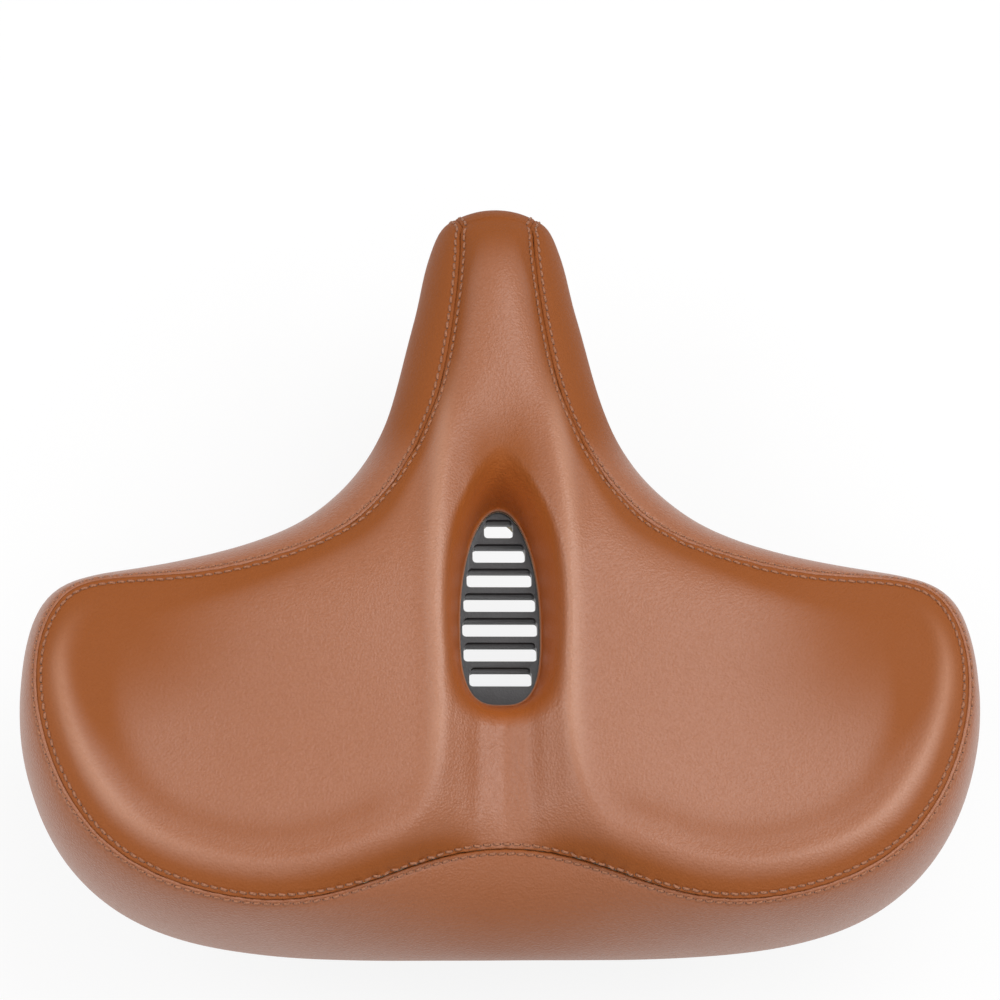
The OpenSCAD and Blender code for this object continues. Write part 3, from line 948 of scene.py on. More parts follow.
@dataclass(frozen=True)
class Regions:
    """Where one part of the top panel passes into the next.

    Each span is a ramp's start and length: along y, on the saddle or on the seam, or from the middle.
    """

    nose_y: Span = (150, 35)
    ahead_seam_y: Span = (22, 22)
    wing_front_seam_y: Span = (62, 25)
    edge_side: Span = (26, 24)
    crest: float = 8.0
    crest_rear: float = 4.0
    crest_seam_y: Span = (22, -75)
    slot_front_y: Span = (60, 17)
    slot_front_side: Span = (0, 14)
    slot_rear_y: Span = (17, -24)
    roll: float = 8.2
    roll_front: float = 10.0
    roll_rear: float = 6.5


@dataclass
class Spots:
    """Level places on the top panel, with what its shape and its colours depend on there."""

    x: np.ndarray
    y: np.ndarray
    seam_z: np.ndarray
    seam_y: np.ndarray
    from_seam: np.ndarray
    from_slot: np.ndarray
    regions: Regions = Regions()
    side: np.ndarray = field(init=False)
    nose: np.ndarray = field(init=False)
    ahead: np.ndarray = field(init=False)
    wing_front: np.ndarray = field(init=False)
    edge: np.ndarray = field(init=False)
    crest: np.ndarray = field(init=False)
    slot_front: np.ndarray = field(init=False)
    roll: np.ndarray = field(init=False)

    def __post_init__(self) -> None:
        """Work out how much each place belongs to the nose, the wing fronts and the wing edges."""
        parts = self.regions
        self.side = np.abs(self.x)
        self.nose = ramp(self.y, *parts.nose_y)
        self.ahead = ramp(self.seam_y, *parts.ahead_seam_y)
        self.wing_front = self.ahead * (1 - ramp(self.seam_y, *parts.wing_front_seam_y))
        self.edge = (1 - self.ahead) * ramp(self.side, *parts.edge_side)
        self.crest = parts.crest + parts.crest_rear * ramp(self.seam_y, *parts.crest_seam_y)
        slot_middle = 1 - ramp(self.side, *parts.slot_front_side)
        self.slot_front = ramp(self.y, *parts.slot_front_y) * slot_middle
        slot_rear = ramp(self.y, *parts.slot_rear_y)
        self.roll = parts.roll + parts.roll_front * self.slot_front + parts.roll_rear * slot_rear


@dataclass(frozen=True)
class Tones:
    """Where shade and light are painted into the leather's colour: painted shade in its hollows and folds,
    painted highlights on its crests and painted light in the slot's throat.
    """

    # Painted shade on the top panel, with soft oval spots of it on the wings and shoulders.
    seam: float = 1.1
    seam_wide: float = 0.72
    seam_ahead: float = 0.5
    seam_wing_front: float = 4.0
    seam_nose: float = 1.0
    rear_middle: float = 0.75
    rear_side: float = 17.0
    rear_y: Span = (4, -20)
    slot: float = 1.1
    slot_off: float = 4.2
    roll_less: float = 3.2
    nose_root: float = 0.80
    root_side: Span = (5, 17)
    root_from: Span = (48, 24)
    root_to: Span = (84, 44)
    nose_tip: float = 0.80
    tip_y: Span = (156, 30)
    rim: float = 0.45
    rim_off: float = 11.0
    rim_wide: float = 7.0
    base: float = 0.12
    wings: tuple[Dish, ...] = (Dish(0.80, 140, 23, 50, 42), Dish(0.35, 45, 84, 14, 22))
    # Painted highlight along the crests.
    ridge: float = 0.75
    ridge_off: float = 1.2
    ridge_wide: float = 3.4
    ridge_from: Span = (-45, 40)
    ridge_to: Span = (95, 45)
    wing: float = 0.72
    wing_less: float = 0.5
    wing_less_y: Span = (2, 28)
    wing_wide: float = 3.2
    wing_y: Span = (-92, 50)
    wing_side: Span = (60, 60)
    cut: Span = (0.1, 0.55)
    crease: float = 0.12
    crease_off: float = 10.0
    crease_wide: float = 9.0
    # Painted light in the slot's throat.
    throat_light_off: float = 3.8
    # Painted shade on the side panel.
    side_nose: float = 0.25
    side_climb: float = 0.9
    side_nose_y: Span = (75, 40)
    side_middle: float = 0.65
    side_middle_wide: float = 60.0

    def painted_shade(self, at: Spots) -> np.ndarray:
        """Painted shade over the top panel: along the seam, round the slot, at the nose's root and tip, in
        soft spots on the wings and in a band inside the wing crests.

        Args:
            at: The places.

        Returns:
            A share from 0 to 1 for each place.
        """
        seam_wide = self.seam_wide * at.crest - self.seam_ahead * at.ahead
        seam_wide = seam_wide + self.seam_wing_front * at.wing_front - self.seam_nose * at.nose
        rear_middle = self.rear_middle * hump(at.side, 0, self.rear_side) * ramp(at.y, *self.rear_y)
        depth = self.seam * hump(at.from_seam, 0, seam_wide) * (1 - rear_middle)
        depth += self.slot * (1 - ramp(at.from_slot, self.slot_off, at.roll - self.roll_less))
        root = self.nose_root * (1 - ramp(at.side, *self.root_side)) * ramp(at.y, *self.root_from)
        depth += root * (1 - ramp(at.y, *self.root_to))
        for wing in self.wings:
            depth += wing.at(at.side, at.y)
        depth += self.nose_tip * ramp(at.y, *self.tip_y)
        depth += self.base
        depth += self.rim * at.edge * hump(at.from_seam, at.crest + self.rim_off, self.rim_wide)
        return np.clip(depth, 0, 1)

    def crest(self, at: Spots, ridge: np.ndarray) -> np.ndarray:
        """Where a highlight is painted along the channel's ridges and the wing crests.

        Args:
            at: The places.
            ridge: Distance of the channel's ridges from the middle.

        Returns:
            A share from 0 to 1 for each place.
        """
        along = hump(at.side, ridge + self.ridge_off, self.ridge_wide) * ramp(at.y, *self.ridge_from)
        along = along * (1 - ramp(at.y, *self.ridge_to)) * self.ridge
        wing = at.edge * hump(at.from_seam, at.crest, self.wing_wide)
        wing = wing * ramp(at.seam_y, *self.wing_y) * ramp(at.side, *self.wing_side)
        return along + wing * (self.wing - self.wing_less * ramp(at.seam_y, *self.wing_less_y))

    def masks(self, at: Spots, ridge: np.ndarray) -> dict[str, np.ndarray]:
        """Every colour mask over the top panel.

        Args:
            at: The places.
            ridge: Distance of the channel's ridges from the middle.

        Returns:
            Each mask by its name, with a share for each place.
        """
        return {
            # Painted shade.
            "painted_shade": self.painted_shade(at),
            "cut": 1 - ramp(at.from_slot, *self.cut),
            "crease": self.crease + (1 - self.crease) * hump(at.from_slot, self.crease_off, self.crease_wide),
            # Painted light in the slot's throat.
            "throat_painted_light": 1 - ramp(at.from_slot, self.throat_light_off, at.roll - self.roll_less),
            # Painted highlight along the crests.
            "crest": self.crest(at, ridge),
        }

    def side_painted_shade(self, place: Vector, climb: float) -> float:
        """Painted shade on the side panel, deeper up the nose's flanks and towards the seam at the middle of
        the rear.

        Args:
            place: The place.
            climb: The share of the way up to the seam.

        Returns:
            A share from 0 to 1.
        """
        nose = float(ramp(np.array(place.y), *self.side_nose_y))
        nose *= self.side_nose + self.side_climb * climb
        middle = math.exp(-((place.x / self.side_middle_wide) ** 2)) * (place.y < 0)
        return min(1.0, self.base + nose + self.side_middle * middle * climb)


@dataclass(frozen=True)
class Seam:
    """The seam between the panels, with a row of stitches in a shallow groove on each side."""

    pitch: float = 3.5
    off: float = 1.75
    lean: float = 0.2
    reach: float = 0.43
    end: float = 2.0
    first: float = 0.25
    stagger: float = 0.5
    thread: float = 0.92
    fan: int = 60
    slug_sides: int = 6
    slug_cuts: int = 4
    slug_hidden: float = 0.45
    fold_deep: float = 0.34
    fold_wide: float = 0.36
    lip_high: float = 0.12
    lip_off: float = 1.0
    groove_deep: float = 0.25
    groove_wide: float = 0.5
    pucker_deep: float = 0.16
    pucker_grain: float = 0.11
    pucker_fade: float = 14.0
    wave_deep: float = 0.14
    wave_grain: float = 0.035
    wave_shift: Point = (9, 2, 5)
    # Strength and width of the painted shade along the fold.
    dark: float = 0.35
    dark_wide: float = 0.7

    def relief(self, away: np.ndarray) -> np.ndarray:
        """How far the leather is lifted beside the seam.

        Args:
            away: Distances from the seam.

        Returns:
            The lift at each, negative where it is pressed in.
        """
        relief = -self.fold_deep * hump(away, 0, self.fold_wide)
        relief = relief + self.lip_high * hump(away, self.lip_off, self.groove_wide)
        return relief - self.groove_deep * hump(away, self.off, self.groove_wide)

    def press(self, mesh: bmesh.types.BMesh, line: np.ndarray) -> None:
        """Press the fold, the stitch grooves and soft puckers into the cover, and paint shade along the fold.

        Args:
            mesh: The cover, in millimetres.
            line: Places along the seam.
        """
        step = run_of(line)
        fine = np.stack([np.interp(np.arange(0, step[-1], 0.5), step, line[:, i]) for i in range(3)], 1)
        mesh.verts.ensure_lookup_table()
        mesh.normal_update()
        tree = KDTree(len(fine))
        for i, p in enumerate(fine):
            tree.insert(p, i)
        tree.balance()
        gaps = np.array([tree.find(p)[2] for p in np.array([v.co for v in mesh.verts])])
        painted_shade = mesh.verts.layers.float["painted_shade"]
        for v, push, away in zip(mesh.verts, self.relief(gaps), gaps):
            p = v.co
            pucker = self.pucker_deep * noise.noise(p * self.pucker_grain)
            push += pucker * math.exp(-away / self.pucker_fade)
            push += self.wave_deep * noise.noise(p * self.wave_grain + Vector(self.wave_shift))
            v.co = p + v.normal * push
            # Painted shade along the fold.
            v[painted_shade] = min(1.0, v[painted_shade] + self.dark * math.exp(-((away / self.dark_wide) ** 2)))

    def beside(
        self, skin: BVHTree, panels: Sequence[int], spot: Vector, along: Vector, panel: Panel, off: float
    ) -> Optional[tuple[Vector, Vector]]:
        """The place on one panel that lies a distance away from a place on the seam.

        Args:
            skin: The finished cover.
            panels: The panel that each of its faces belongs to.
            spot: The place on the seam.
            along: The seam's direction there.
            panel: The wanted panel.
            off: The distance.

        Returns:
            The place and the face's direction, or nothing where the panel is not met.
        """
        found = []
        for k in range(self.fan):
            way = Quaternion(along, 2 * math.pi * k / self.fan) @ along.orthogonal().normalized()
            place, normal, face, gap = skin.find_nearest(spot + way * off)
            if panels[face] == panel:
                found.append((gap, k, place, normal))
        return min(found)[2:] if found else None

    def stitches(self, skin: BVHTree, panels: Sequence[int], line: np.ndarray) -> bmesh.types.BMesh:
        """Both rows of stitches, each a short bedded slug of thread.

        Args:
            skin: The finished cover, in millimetres.
            panels: The panel that each of its faces belongs to.
            line: Places along the seam.

        Returns:
            The stitches, in millimetres.
        """
        step = run_of(line)
        mesh, pattern = bmesh.new(), self.slug()
        reach = self.reach * self.pitch
        for panel in Panel:
            start = self.end + self.pitch * (self.first + self.stagger * panel)
            for s in np.arange(start, step[-1] - self.end, self.pitch):
                ends = [
                    Vector([np.interp(place, step, line[:, j]) for j in range(3)])
                    for place in (s - reach, s + reach)
                ]
                along = (ends[1] - ends[0]).normalized()
                spots = [
                    self.beside(skin, panels, end, along, panel, self.off + sign * self.lean)
                    for sign, end in zip((-1, 1), ends)
                ]
                if None in spots:
                    continue
                run = spots[1][0] - spots[0][0]
                x = run.normalized()
                y = (spots[0][1] + spots[1][1]).cross(x).normalized()
                turn = Matrix((x * run.length, y, x.cross(y))).transposed().to_4x4()
                middle = Matrix.Translation((spots[0][0] + spots[1][0]) / 2)
                before = len(mesh.verts)
                mesh.from_mesh(pattern)
                mesh.verts.ensure_lookup_table()
                bmesh.ops.transform(mesh, matrix=middle @ turn, verts=mesh.verts[before:])
        bpy.data.meshes.remove(pattern)
        return mesh

    def slug(self) -> bpy.types.Mesh:
        """One stitch, a unit long, arched up out of the leather between its two holes.

        Returns:
            The stitch as a mesh to copy, whose points in the holes are marked.
        """
        mesh = bmesh.new()
        radius = self.thread / 2
        bmesh.ops.create_cone(
            mesh, cap_ends=True, segments=self.slug_sides, radius1=radius, radius2=radius, depth=1.0,
            matrix=Matrix.Rotation(math.pi / 2, 4, "Y"),
        )
        bars = [e for e in mesh.edges if abs(e.verts[0].co.x - e.verts[1].co.x) > 0.5]
        bmesh.ops.subdivide_edges(mesh, edges=bars, cuts=self.slug_cuts)
        hole = mesh.verts.layers.float.new("hole")
        for v in mesh.verts:
            arch = math.cos(math.pi * v.co.x)
            v[hole] = 1.0 if arch < self.slug_hidden else 0.0
            lift = arch**0.7 * 1.1 - 0.5 if arch > 0.01 else -0.5
            v.co.y *= 0.95 + 0.1 * arch
            v.co.z = v.co.z * (0.6 + 0.4 * arch) + radius * lift
        pattern = bpy.data.meshes.new("stitch_pattern")
        mesh.to_mesh(pattern)
        mesh.free()
        return pattern


# ---------------------------------------------------------------- the cover


@dataclass
class Cover:
    """The sewn cover: a top panel with a tongue over the nose, a side panel, and the foam under both."""

    pieces: Pieces
    thick: float = 1.4
    tuck: float = 8.0
    flange: float = 6.5
    fold_lift: float = 0.5
    hem_lift: float = 8.3
    tip_fall: float = 10.6
    rise: float = 6.0
    rise_nose: float = 12.0
    rise_wing: float = 7.0
    reach: float = 15.0
    reach_wing: float = 14.0
    seam_round: float = 2.2
    nose_arch: float = 2.2
    long_nose: Span = (104, 34)
    crest_high: float = 2.1
    crest_wide: float = 0.40
    slot_lip: float = 0.9
    wall_steep: float = 2.6
    wall_front: float = 0.5
    ripple_pitch: float = 9.6
    ripple_deep: float = 0.26
    ripple_side: Span = (6, 10.0)
    ripple_y: Span = (4, -8)
    ripple_seam: Span = (3, 10)
    side_bulge: float = 0.56
    seam_bulge: float = 0.52
    tongue_u: float = 2.0
    pitch: float = 2.5
    grid: float = 1.75
    near: tuple[float, ...] = (0.25, 0.6, 1.1, 1.7, 2.3, 2.9, 3.6, 4.6, 6.2, 8.2)
    near_slot: tuple[float, ...] = (0.3, 0.7, 1.1, 1.5, 2.0, 2.7, 3.5, 4.4, 5.4, 6.5, 7.7, 9.0, 10.4)
    foam_gap: float = 0.5
    foam_foot: float = 14.0
    slot: Slot = field(default_factory=Slot)
    crown: Crown = Crown()
    tones: Tones = Tones()
    seam: Seam = Seam()

    def __post_init__(self) -> None:
        """Take the outline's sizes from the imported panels."""
        low, high = (Vector(c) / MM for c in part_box("side_panel"))
        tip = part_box("top_panel")[1].y / MM
        self.hem = low.z
        self.ring = Outline(tip, tip - low.y, high.x - low.x, self.hem)
        half = self.ring.half_columns(self.tongue_u, self.near, self.pitch)
        self.u = np.concatenate([half, self.ring.count - half[-2:0:-1]])
        self.from_tip = np.minimum(self.u, self.ring.count - self.u)
        self.in_tongue = self.from_tip <= self.tongue_u + 1e-6
        self.rows = self.ring.at(self.u)
        self.leather = {
            Panel.TOP: Leather("leather_top").material(),
            Panel.SIDE: Leather("leather_side").material(),
        }

    def nose_height(self, x: np.ndarray, y: np.ndarray) -> np.ndarray:
        """Height of the padding along the nose, arched between the seams and falling to the tip.

        Args:
            x: Distances to the right of the middle.
            y: Distances ahead of the post.

        Returns:
            The heights.
        """
        rows = self.ring.table[12 * self.ring.fine:3 * self.ring.fine:-1]
        half, edge = (np.interp(y, rows[:, SEAM_Y], rows[:, i]) for i in (SEAM_X, SEAM_Z))
        arch = 1 - np.clip(np.abs(x) / half, 0, 1) ** self.nose_arch
        top = self.hem + self.crown.at(x, y) - self.tip_fall * np.clip((y - 148) / 41, 0, 1) ** 2.4
        return edge + (top - edge) * arch

    def survey(self, points: np.ndarray) -> Spots:
        """What the shape and the colours depend on at level places.

        Args:
            points: Level places on the top panel.

        Returns:
            The places with their distances from the seam and the slot.
        """
        seam = self.ring.table[::4]
        from_seam, along = nearest(points, seam[:, SEAM_LEVEL], seam[:, [SEAM_Z, SEAM_Y]])
        from_slot, _ = nearest(points, self.slot.ring(600))
        return Spots(*points.T, *along.T, from_seam, from_slot)

    def top_height(self, at: Spots) -> np.ndarray:
        """Height of the top panel.

        Args:
            at: Places on the top panel.

        Returns:
            The heights.
        """
        rise = 1 - np.exp(
            -at.from_seam / (self.rise + self.rise_nose * at.nose + self.rise_wing * at.wing_front)
            - (at.from_seam / (self.reach + self.reach_wing * at.wing_front)) ** 2
        )
        height = at.seam_z + (self.hem + self.crown.at(at.x, at.y) - at.seam_z) * rise
        nose_rise = 1 - np.exp(-at.from_seam / self.seam_round)
        nose = at.seam_z + (self.nose_height(at.x, at.y) - at.seam_z) * nose_rise
        height += (nose - height) * ramp(at.y, *self.long_nose)
        crest = hump(at.from_seam, at.crest, at.crest * self.crest_wide)
        height += at.edge * (self.crest_high - at.crest / 18) * crest
        share = np.clip((at.from_slot - self.slot_lip) / at.roll, 0, 1)
        wall = 1 - (1 - share) ** (self.wall_steep - self.wall_front * at.slot_front)
        floor = self.hem + self.slot.edge_z
        rolled = at.from_slot < at.roll + self.slot_lip
        height = np.where(rolled, floor + (height - floor) * wall, height)
        ripple = hump(at.side, *self.ripple_side) * ramp(at.y, *self.ripple_y)
        ripple = ripple * ramp(at.from_seam, *self.ripple_seam) * self.ripple_deep
        return height - ripple * np.cos(at.x * 2 * math.pi / self.ripple_pitch + 0.2)

    def top_points(self) -> np.ndarray:
        """Places for the top panel's points, closest beside the seam and the slot.

        Returns:
            Level places.
        """
        edge = self.rows[:, SEAM_LEVEL]
        loop = self.ring.table[:, SEAM_LEVEL]
        out = left_of(np.roll(edge, -1, 0) - np.roll(edge, 1, 0))
        lines = [edge]
        for off in self.near:
            inner = edge - off * out
            lines.append(inner[nearest(inner, loop)[0] > off * 0.96])
        lines += [self.slot.ring(200)]
        for off in self.near_slot:
            lines.append(self.slot.ring(int(200 + 2 * off), off))
        low, high = loop.min(0), loop.max(0)
        step = self.grid
        gx, gy = np.meshgrid(np.arange(low[0], high[0], step), np.arange(low[1], high[1], step * 0.866))
        gx[::2] += step / 2
        grid = np.stack([gx.ravel(), gy.ravel()], 1)
        grid = grid[inside(grid, loop)]
        grid = grid[nearest(grid, loop[::3])[0] > self.near[-1] + step * 0.7]
        from_slot = nearest(grid, self.slot.ring(400))[0]
        clear = (from_slot > self.near_slot[-1] + step * 0.7) & ~inside(grid, self.slot.ring(200))
        return np.vstack(lines + [grid[clear]])

    def hem_rows(self) -> list[np.ndarray]:
        """Rows of the side from the edge of the turned-under hem to the widest place.

        Returns:
            The rows, each with a place for every column.
        """
        wide, out = self.rows[:, WIDE], self.ring.outward(self.u)
        base = self.hem + self.hem_lift * ramp(wide[:, 1], 97, 16)
        rows = []
        for back in (self.flange, self.flange * 0.66, self.flange * 0.33, self.thick):
            place = wide[:, :2] - (self.tuck + back) * out
            rows.append(np.column_stack([place, base]))
        for a in np.radians(np.linspace(90, 0, 15)):
            place = wide[:, :2] - self.tuck * (1 - math.cos(a)) * out
            rows.append(np.column_stack([place, wide[:, 2] + (base - wide[:, 2]) * math.sin(a)]))
        rows[4][:, 2] += self.fold_lift
        return rows

    def wall_rows(self) -> list[np.ndarray]:
        """Rows of the side from the widest place up to the seam, closer together near the seam.

        Returns:
            The rows, each with a place for every column.
        """
        wide, seam = self.rows[:, WIDE], self.rows[:, SEAM]
        high = seam - wide
        level = np.linalg.norm(high[:, :2], axis=1, keepdims=True)
        toward = high[:, :2] / level
        slope = (0.10 + 0.50 * (1 - ramp(self.from_tip, 1.2, 1.6)))[:, None]
        up = np.column_stack([0 * toward, self.side_bulge * high[:, 2]])
        back = np.hstack([toward * self.seam_bulge * level, slope * self.seam_bulge * level])
        ends = (wide, wide + up, seam - back, seam)
        t = np.linspace(0, 1, 90)[:, None, None]
        parts = [math.comb(3, i) * (1 - t) ** (3 - i) * t**i * end[None] for i, end in enumerate(ends)]
        curve = sum(parts)[::-1]
        run = np.cumsum(np.linalg.norm(np.diff(curve, axis=0), axis=2), axis=0)
        run = np.vstack([np.zeros((1, len(wide))), run])
        total = run[-1]
        spots = [total * 0 + d for d in (0.0, *self.near)]
        spots += [self.near[-1] + (total - self.near[-1]) * s for s in np.linspace(0, 1, 13)[1:-1]]
        columns = range(len(wide))
        return [
            np.array([[np.interp(spot[k], run[:, k], curve[:, k, i]) for i in range(3)] for k in columns])
            for spot in spots[::-1]
        ]

    def lay_side(self, mesh: bmesh.types.BMesh) -> None:
        """Lay the side and the tongue as a grid of columns round the ring.

        Args:
            mesh: The empty cover, with its layers.
        """
        side = self.hem_rows() + self.wall_rows()
        painted_shade, panel = mesh.verts.layers.float["painted_shade"], mesh.faces.layers.int["panel"]
        count = len(self.u)
        grid = bmesh.ops.create_grid(mesh, x_segments=count, y_segments=len(side) - 1, size=1.0)["verts"]
        places = np.array([v.co[:2] for v in grid])
        columns = np.rint((places[:, 0] + 1) / 2 * count).astype(int)
        rows = np.rint((places[:, 1] + 1) / 2 * (len(side) - 1)).astype(int)
        for v, r, k in zip(grid, rows, columns):
            v.co = side[r][k % count]
            # Painted shade on the side panel.
            v[painted_shade] = self.tones.side_painted_shade(v.co, r / len(side))
        column = dict(zip(grid, columns))
        for f in mesh.faces:
            k = min(column[v] for v in f.verts)
            tongue = self.in_tongue[k % count] and self.in_tongue[(k + 1) % count]
            f[panel] = Panel.TOP if tongue else Panel.SIDE

    def lay_top(self, mesh: bmesh.types.BMesh) -> None:
        """Lay the top panel as triangles fitted between the seam and the slot.

        Args:
            mesh: The cover with its side.
        """
        panel = mesh.faces.layers.int["panel"]
        count = len(self.u)
        edges = [(i, (i + 1) % count) for i in range(count)]
        made = delaunay_2d_cdt([Vector(p) for p in self.top_points()], edges, [], 1, 1e-4)
        level = np.array([tuple(v) for v in made[0]])
        triangles = np.array([f for f in made[2] if len(f) == 3])
        triangles = triangles[~inside(level[triangles].mean(1), self.slot.ring(200, -0.01))]
        at = self.survey(level)
        height = self.top_height(at)
        masks = self.tones.masks(at, self.crown.channel.ridge(at.y))
        verts = {}
        for i in np.unique(triangles):
            verts[i] = mesh.verts.new((*level[i], height[i]))
            for name, mask in masks.items():
                verts[i][mesh.verts.layers.float[name]] = mask[i]
        for corners in triangles:
            mesh.faces.new([verts[i] for i in corners])[panel] = Panel.TOP

    def build_skin(self) -> bmesh.types.BMesh:
        """The whole cover as one sheet, before the seam is pressed in.

        Returns:
            The sheet, in millimetres, with its colour masks and panel numbers.
        """
        mesh = bmesh.new()
        for name in MASKS:
            mesh.verts.layers.float.new(name)
        mesh.faces.layers.int.new("panel")
        self.lay_side(mesh)
        self.lay_top(mesh)
        bmesh.ops.remove_doubles(mesh, verts=mesh.verts, dist=0.02)
        bmesh.ops.recalc_face_normals(mesh, faces=mesh.faces)
        mesh.normal_update()
        top = max(mesh.faces, key=lambda f: f.calc_center_median().z)
        if top.normal.z < 0:
            bmesh.ops.reverse_faces(mesh, faces=mesh.faces)
        return mesh

    def seam_line(self) -> np.ndarray:
        """The seam from the hem at one side of the tongue, round the rear, to the hem at the other.

        Returns:
            Places along it.
        """
        side = np.array(self.hem_rows() + self.wall_rows())[5:]
        up = side[:, int(np.argmin(np.abs(self.u - self.tongue_u)))]
        u = np.linspace(self.tongue_u, self.ring.count - self.tongue_u, 1400)[1:-1]
        return np.vstack([up, self.ring.at(u)[:, SEAM], up[::-1] * np.array([-1, 1, 1])])

    def build(self) -> None:
        """Build the panels, the padding and the stitches."""
        skin = self.build_skin()
        self.cushion(skin.copy())
        line = self.seam_line()
        self.seam.press(skin, line)
        skin.faces.index_update()
        layer = skin.faces.layers.int["panel"]
        thread = self.seam.stitches(BVHTree.FromBMesh(skin), [f[layer] for f in skin.faces], line)
        to_metres(thread)
        bmesh.ops.recalc_face_normals(thread, faces=thread.faces)
        self.pieces.add(thread, "topstitching", "seat", "cover_top", Thread().material(), sharp=80)
        for panel, name, slot, node in (
            (Panel.TOP, "cover_top_panel", "cover_top", "top_panel"),
            (Panel.SIDE, "cover_side_panel", "cover_side", "side_panel"),
        ):
            part = skin.copy()
            layer = part.faces.layers.int["panel"]
            bmesh.ops.delete(part, geom=[f for f in part.faces if f[layer] != panel], context="FACES")
            to_metres(part)
            piece = self.pieces.add(part, name, "seat", slot, self.leather[panel], [node], sharp=70)
            wall = piece.modifiers.new("Leather thickness", "SOLIDIFY")
            wall.thickness, wall.offset = self.thick * MM, -1.0
        skin.free()

    def cushion(self, mesh: bmesh.types.BMesh) -> None:
        """Build the foam under the cover, cut level at its foot.

        Args:
            mesh: A copy of the cover before its seam is pressed.
        """
        gap = self.thick + self.foam_gap
        mesh.normal_update()
        for v, n in [(v, v.normal.copy()) for v in mesh.verts]:
            v.co -= n * gap
        foot = self.hem + self.foam_foot
        bmesh.ops.bisect_plane(
            mesh, geom=[*mesh.verts, *mesh.edges, *mesh.faces], plane_co=(0, 0, foot),
            plane_no=(0, 0, 1), clear_inner=True,
        )
        open_edges = [e for e in mesh.edges if e.is_boundary]
        round_slot = [e for e in open_edges if min(v.co.z for v in e.verts) > foot + 2]
        grown = bmesh.ops.extrude_edge_only(mesh, edges=round_slot)["geom"]
        for v in grown:
            if isinstance(v, bmesh.types.BMVert):
                v.co.z = foot
        rim = [v for v in mesh.verts if v.is_boundary]
        made = delaunay_2d_cdt([v.co.xy for v in rim], rim_pairs(rim), [], 1, 1e-5)
        level = np.array([tuple(v) for v in made[0]])
        centre = level[np.array(made[2])].mean(1)
        for triangle, open_ in zip(made[2], inside(centre, self.slot.ring(200, gap + 0.5))):
            corners = [rim[made[3][i][0]] for i in triangle if made[3][i]]
            if not open_ and len(set(corners)) == 3:
                mesh.faces.new(corners)
        bmesh.ops.recalc_face_normals(mesh, faces=mesh.faces)
        to_metres(mesh)
        foam = MouldedFoam().material()
        piece = self.pieces.add(mesh, "moulded_padding", "seat", "foam", foam, ["foam_cushion"])


# ---------------------------------------------------------------- hard parts


@dataclass
class Springs:
    """The two coil springs, with closed ends."""

    pieces: Pieces
    wire: float = 4.0
    sides: int = 14
    turns: float = 3.2
    closed: float = 0.9
    packed: float = 0.98
    steps: int = 36
    keep: float = 0.55

    def coil(self, node: str) -> bmesh.types.BMesh:
        """One coil where its stand-in is.

        Args:
            node: The CAD node of the stand-in.

        Returns:
            The coil in metres.
        """
        low, high = (Vector(c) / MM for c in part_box(node))
        middle = (low + high) / 2
        radius = (high.x - low.x) / 2 - self.wire / 2
        mesh = bmesh.new()
        bmesh.ops.create_circle(mesh, cap_ends=True, segments=self.sides, radius=self.wire / 2)
        turn = Matrix.Rotation(math.pi / 2, 4, "X")
        start = Vector((middle.x + radius, middle.y, low.z + self.wire / 2))
        bmesh.ops.transform(mesh, matrix=Matrix.Translation(start) @ turn, verts=mesh.verts)
        free = high.z - low.z - self.wire
        flat = self.wire * self.packed * self.closed
        section = list(mesh.faces)
        for turns, climb in ((self.closed, flat), (self.turns, free - 2 * flat), (self.closed, flat)):
            steps = int(self.steps * turns)
            grown = bmesh.ops.spin(
                mesh, geom=section, cent=(middle.x, middle.y, 0), axis=(0, 0, 1),
                dvec=(0, 0, climb / steps), angle=2 * math.pi * turns, steps=steps,
                use_merge=False, use_duplicate=False,
            )["geom_last"]
            section = [g for g in grown if isinstance(g, bmesh.types.BMFace)]
        bmesh.ops.recalc_face_normals(mesh, faces=mesh.faces)
        to_metres(mesh)
        return mesh

    def build(self) -> None:
        """Build both springs."""
        finish = Plating("spring_plating", rough=0.16).material()
        for node in ("spring_left", "spring_right"):
            coil, foot = self.coil(node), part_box(node)[0]
            piece = self.pieces.add(coil, "coil_" + node, "undercarriage", "chrome", finish, [node])
            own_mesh(piece)


@dataclass
class Hardware:
    """Base, rails, bridge, seats, bolts and clamp, with softened edges and their finishes."""

    pieces: Pieces

    def build(self) -> None:
        """Dress every hard part, each with the width of its softened edges in millimetres."""
        plastic = MouldedPlastic("base_plastic").material()
        black = CoatedSteel("black_steel").material()
        clamp = CoatedSteel("clamp_steel", coat=(0.035, 0.035, 0.038), rough=0.38, wear=0.62).material()
        zinc = Plating("zinc").material()
        rubber = MouldedPlastic("bush_rubber", body=(0.012, 0.012, 0.012), rough=0.7).material()
        for node, material, radius in (
            ("base_shell", plastic, 0.5), ("rear_bridge", black, 0.7), ("rail_clips", black, 0.4),
            ("clip_rivets", zinc, 0.5), ("spring_seats_lower", black, 0.4),
            ("spring_seats_upper", black, 0.4), ("bridge_bolts", zinc, 0.5),
            ("bridge_nuts", zinc, 0.5), ("base_screws", zinc, 0.6), ("strap_screws", zinc, 0.6),
            ("nose_strap", black, 0.4), ("nose_bush", rubber, 0.3), ("post_collar", clamp, 0.5),
            ("clamp_stud", zinc, 0.5), ("clamp_washers", zinc, 0.3), ("stud_nut_left", zinc, 0.5),
            ("stud_nut_right", zinc, 0.5), ("inner_cheek_left", clamp, 0.7),
            ("inner_cheek_right", clamp, 0.7), ("outer_cheek_left", clamp, 0.7),
            ("outer_cheek_right", clamp, 0.7), ("hem_staples", zinc, 0.25),
            ("rail_frame", black, 0.2),
        ):
            self.pieces.softened(node, node + "_finished", material, radius)


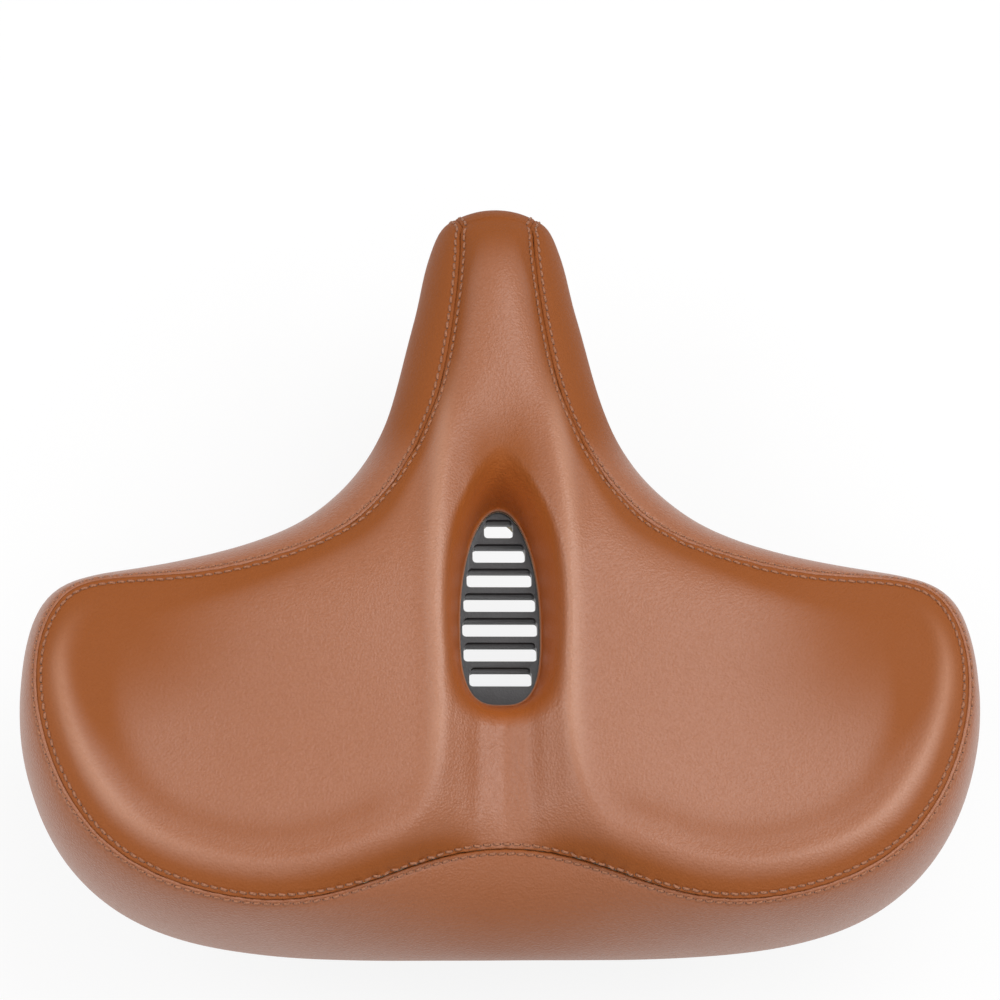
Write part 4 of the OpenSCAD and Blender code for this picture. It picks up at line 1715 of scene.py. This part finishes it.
# ---------------------------------------------------------------- studio


@dataclass
class Studio:
    """White sweep, soft lights and the camera, in metres and degrees."""

    elevation: float = 72.0
    side_tilt: float = 3.0
    distance: float = 1.5
    frame_width: float = 0.3725
    sensor: float = 36.0
    roll: float = 0.8
    aim: Point = (0.0007, 0.0825, 0.093)
    floor_size: float = 6.0
    floor_z: float = -0.003
    floor_glow: float = 0.86
    sky: float = 0.44
    light_aim: Point = (0, 0.03, 0.1)

    def camera(self) -> None:
        """Set the camera above and behind the saddle."""
        e, t = math.radians(self.elevation), math.radians(self.side_tilt)
        back = Vector((-math.sin(t), -math.cos(e) * math.cos(t), math.sin(e) * math.cos(t))).normalized()
        ahead = Vector((0, 1, 0))
        top = (ahead - back * ahead.dot(back)).normalized()
        top = Matrix.Rotation(-math.radians(self.roll), 3, back) @ top
        turn = Matrix((top.cross(back), top, back)).transposed().to_4x4()
        data = bpy.data.cameras.new("Camera")
        data.sensor_width = self.sensor
        data.lens = data.sensor_width * self.distance / self.frame_width
        camera = bpy.data.objects.new("Camera", data)
        camera.matrix_world = Matrix.Translation(Vector(self.aim) + back * self.distance) @ turn
        bpy.context.scene.collection.objects.link(camera)
        bpy.context.scene.camera = camera

    def floor(self) -> None:
        """Lay a pale floor that gives back light."""
        net = Network("floor_white")
        paint = net.node("ShaderNodeBsdfDiffuse", None, {"Color": (0.9, 0.9, 0.9, 1)})
        glow = net.node("ShaderNodeEmission", None, {"Color": (1, 1, 1, 1), "Strength": 1.0})
        net.close(net.node("ShaderNodeMixShader", None, {0: self.floor_glow, 1: paint, 2: glow}))
        mesh = bmesh.new()
        bmesh.ops.create_grid(mesh, x_segments=4, y_segments=4, size=self.floor_size)
        data = bpy.data.meshes.new("floor")
        mesh.to_mesh(data)
        mesh.free()
        data.materials.append(net.material)
        floor = bpy.data.objects.new("floor", data)
        floor.location.z = self.floor_z
        bpy.context.scene.collection.objects.link(floor)

    def light(self, name: str, place: Point, size: float, power: float) -> None:
        """Hang one soft light.

        Args:
            name: Its name.
            place: Where it hangs.
            size: Its width.
            power: Its power in watts.
        """
        data = bpy.data.lights.new(name, "AREA")
        data.size, data.energy, data.shape = size, power, "SQUARE"
        lamp = bpy.data.objects.new(name, data)
        lamp.location = place
        lamp.rotation_euler = (Vector(place) - Vector(self.light_aim)).to_track_quat("Z", "Y").to_euler()
        bpy.context.scene.collection.objects.link(lamp)

    def build(self) -> None:
        """Set the whole studio."""
        world = bpy.data.worlds.new("studio")
        world.use_nodes = True
        sky = world.node_tree.nodes["Background"].inputs
        sky["Color"].default_value, sky["Strength"].default_value = (1, 1, 1, 1), self.sky
        bpy.context.scene.world = world
        bpy.context.scene.view_settings.view_transform = "Standard"
        self.camera()
        self.floor()
        self.light("softbox_front", (0.40, 0.50, 1.40), 0.8, 6.5)
        self.light("softbox_rear", (0.0, -0.50, 1.50), 1.3, 5.0)
        for side in (-1, 1):
            self.light(f"softbox_side_{side}", (side * 0.95, 0.10, 1.10), 0.7, 5.5)


def main() -> None:
    """Build the saddle, piece by piece, in its studio."""
    logging.basicConfig(level=logging.INFO, format="%(name)s: %(message)s")
    pieces = Pieces()
    Studio().build()
    for assembly in (Cover(pieces), Springs(pieces), Hardware(pieces)):
        assembly.build()
        LOG.info("%s built", type(assembly).__name__)


if __name__ == "__main__":
    main()
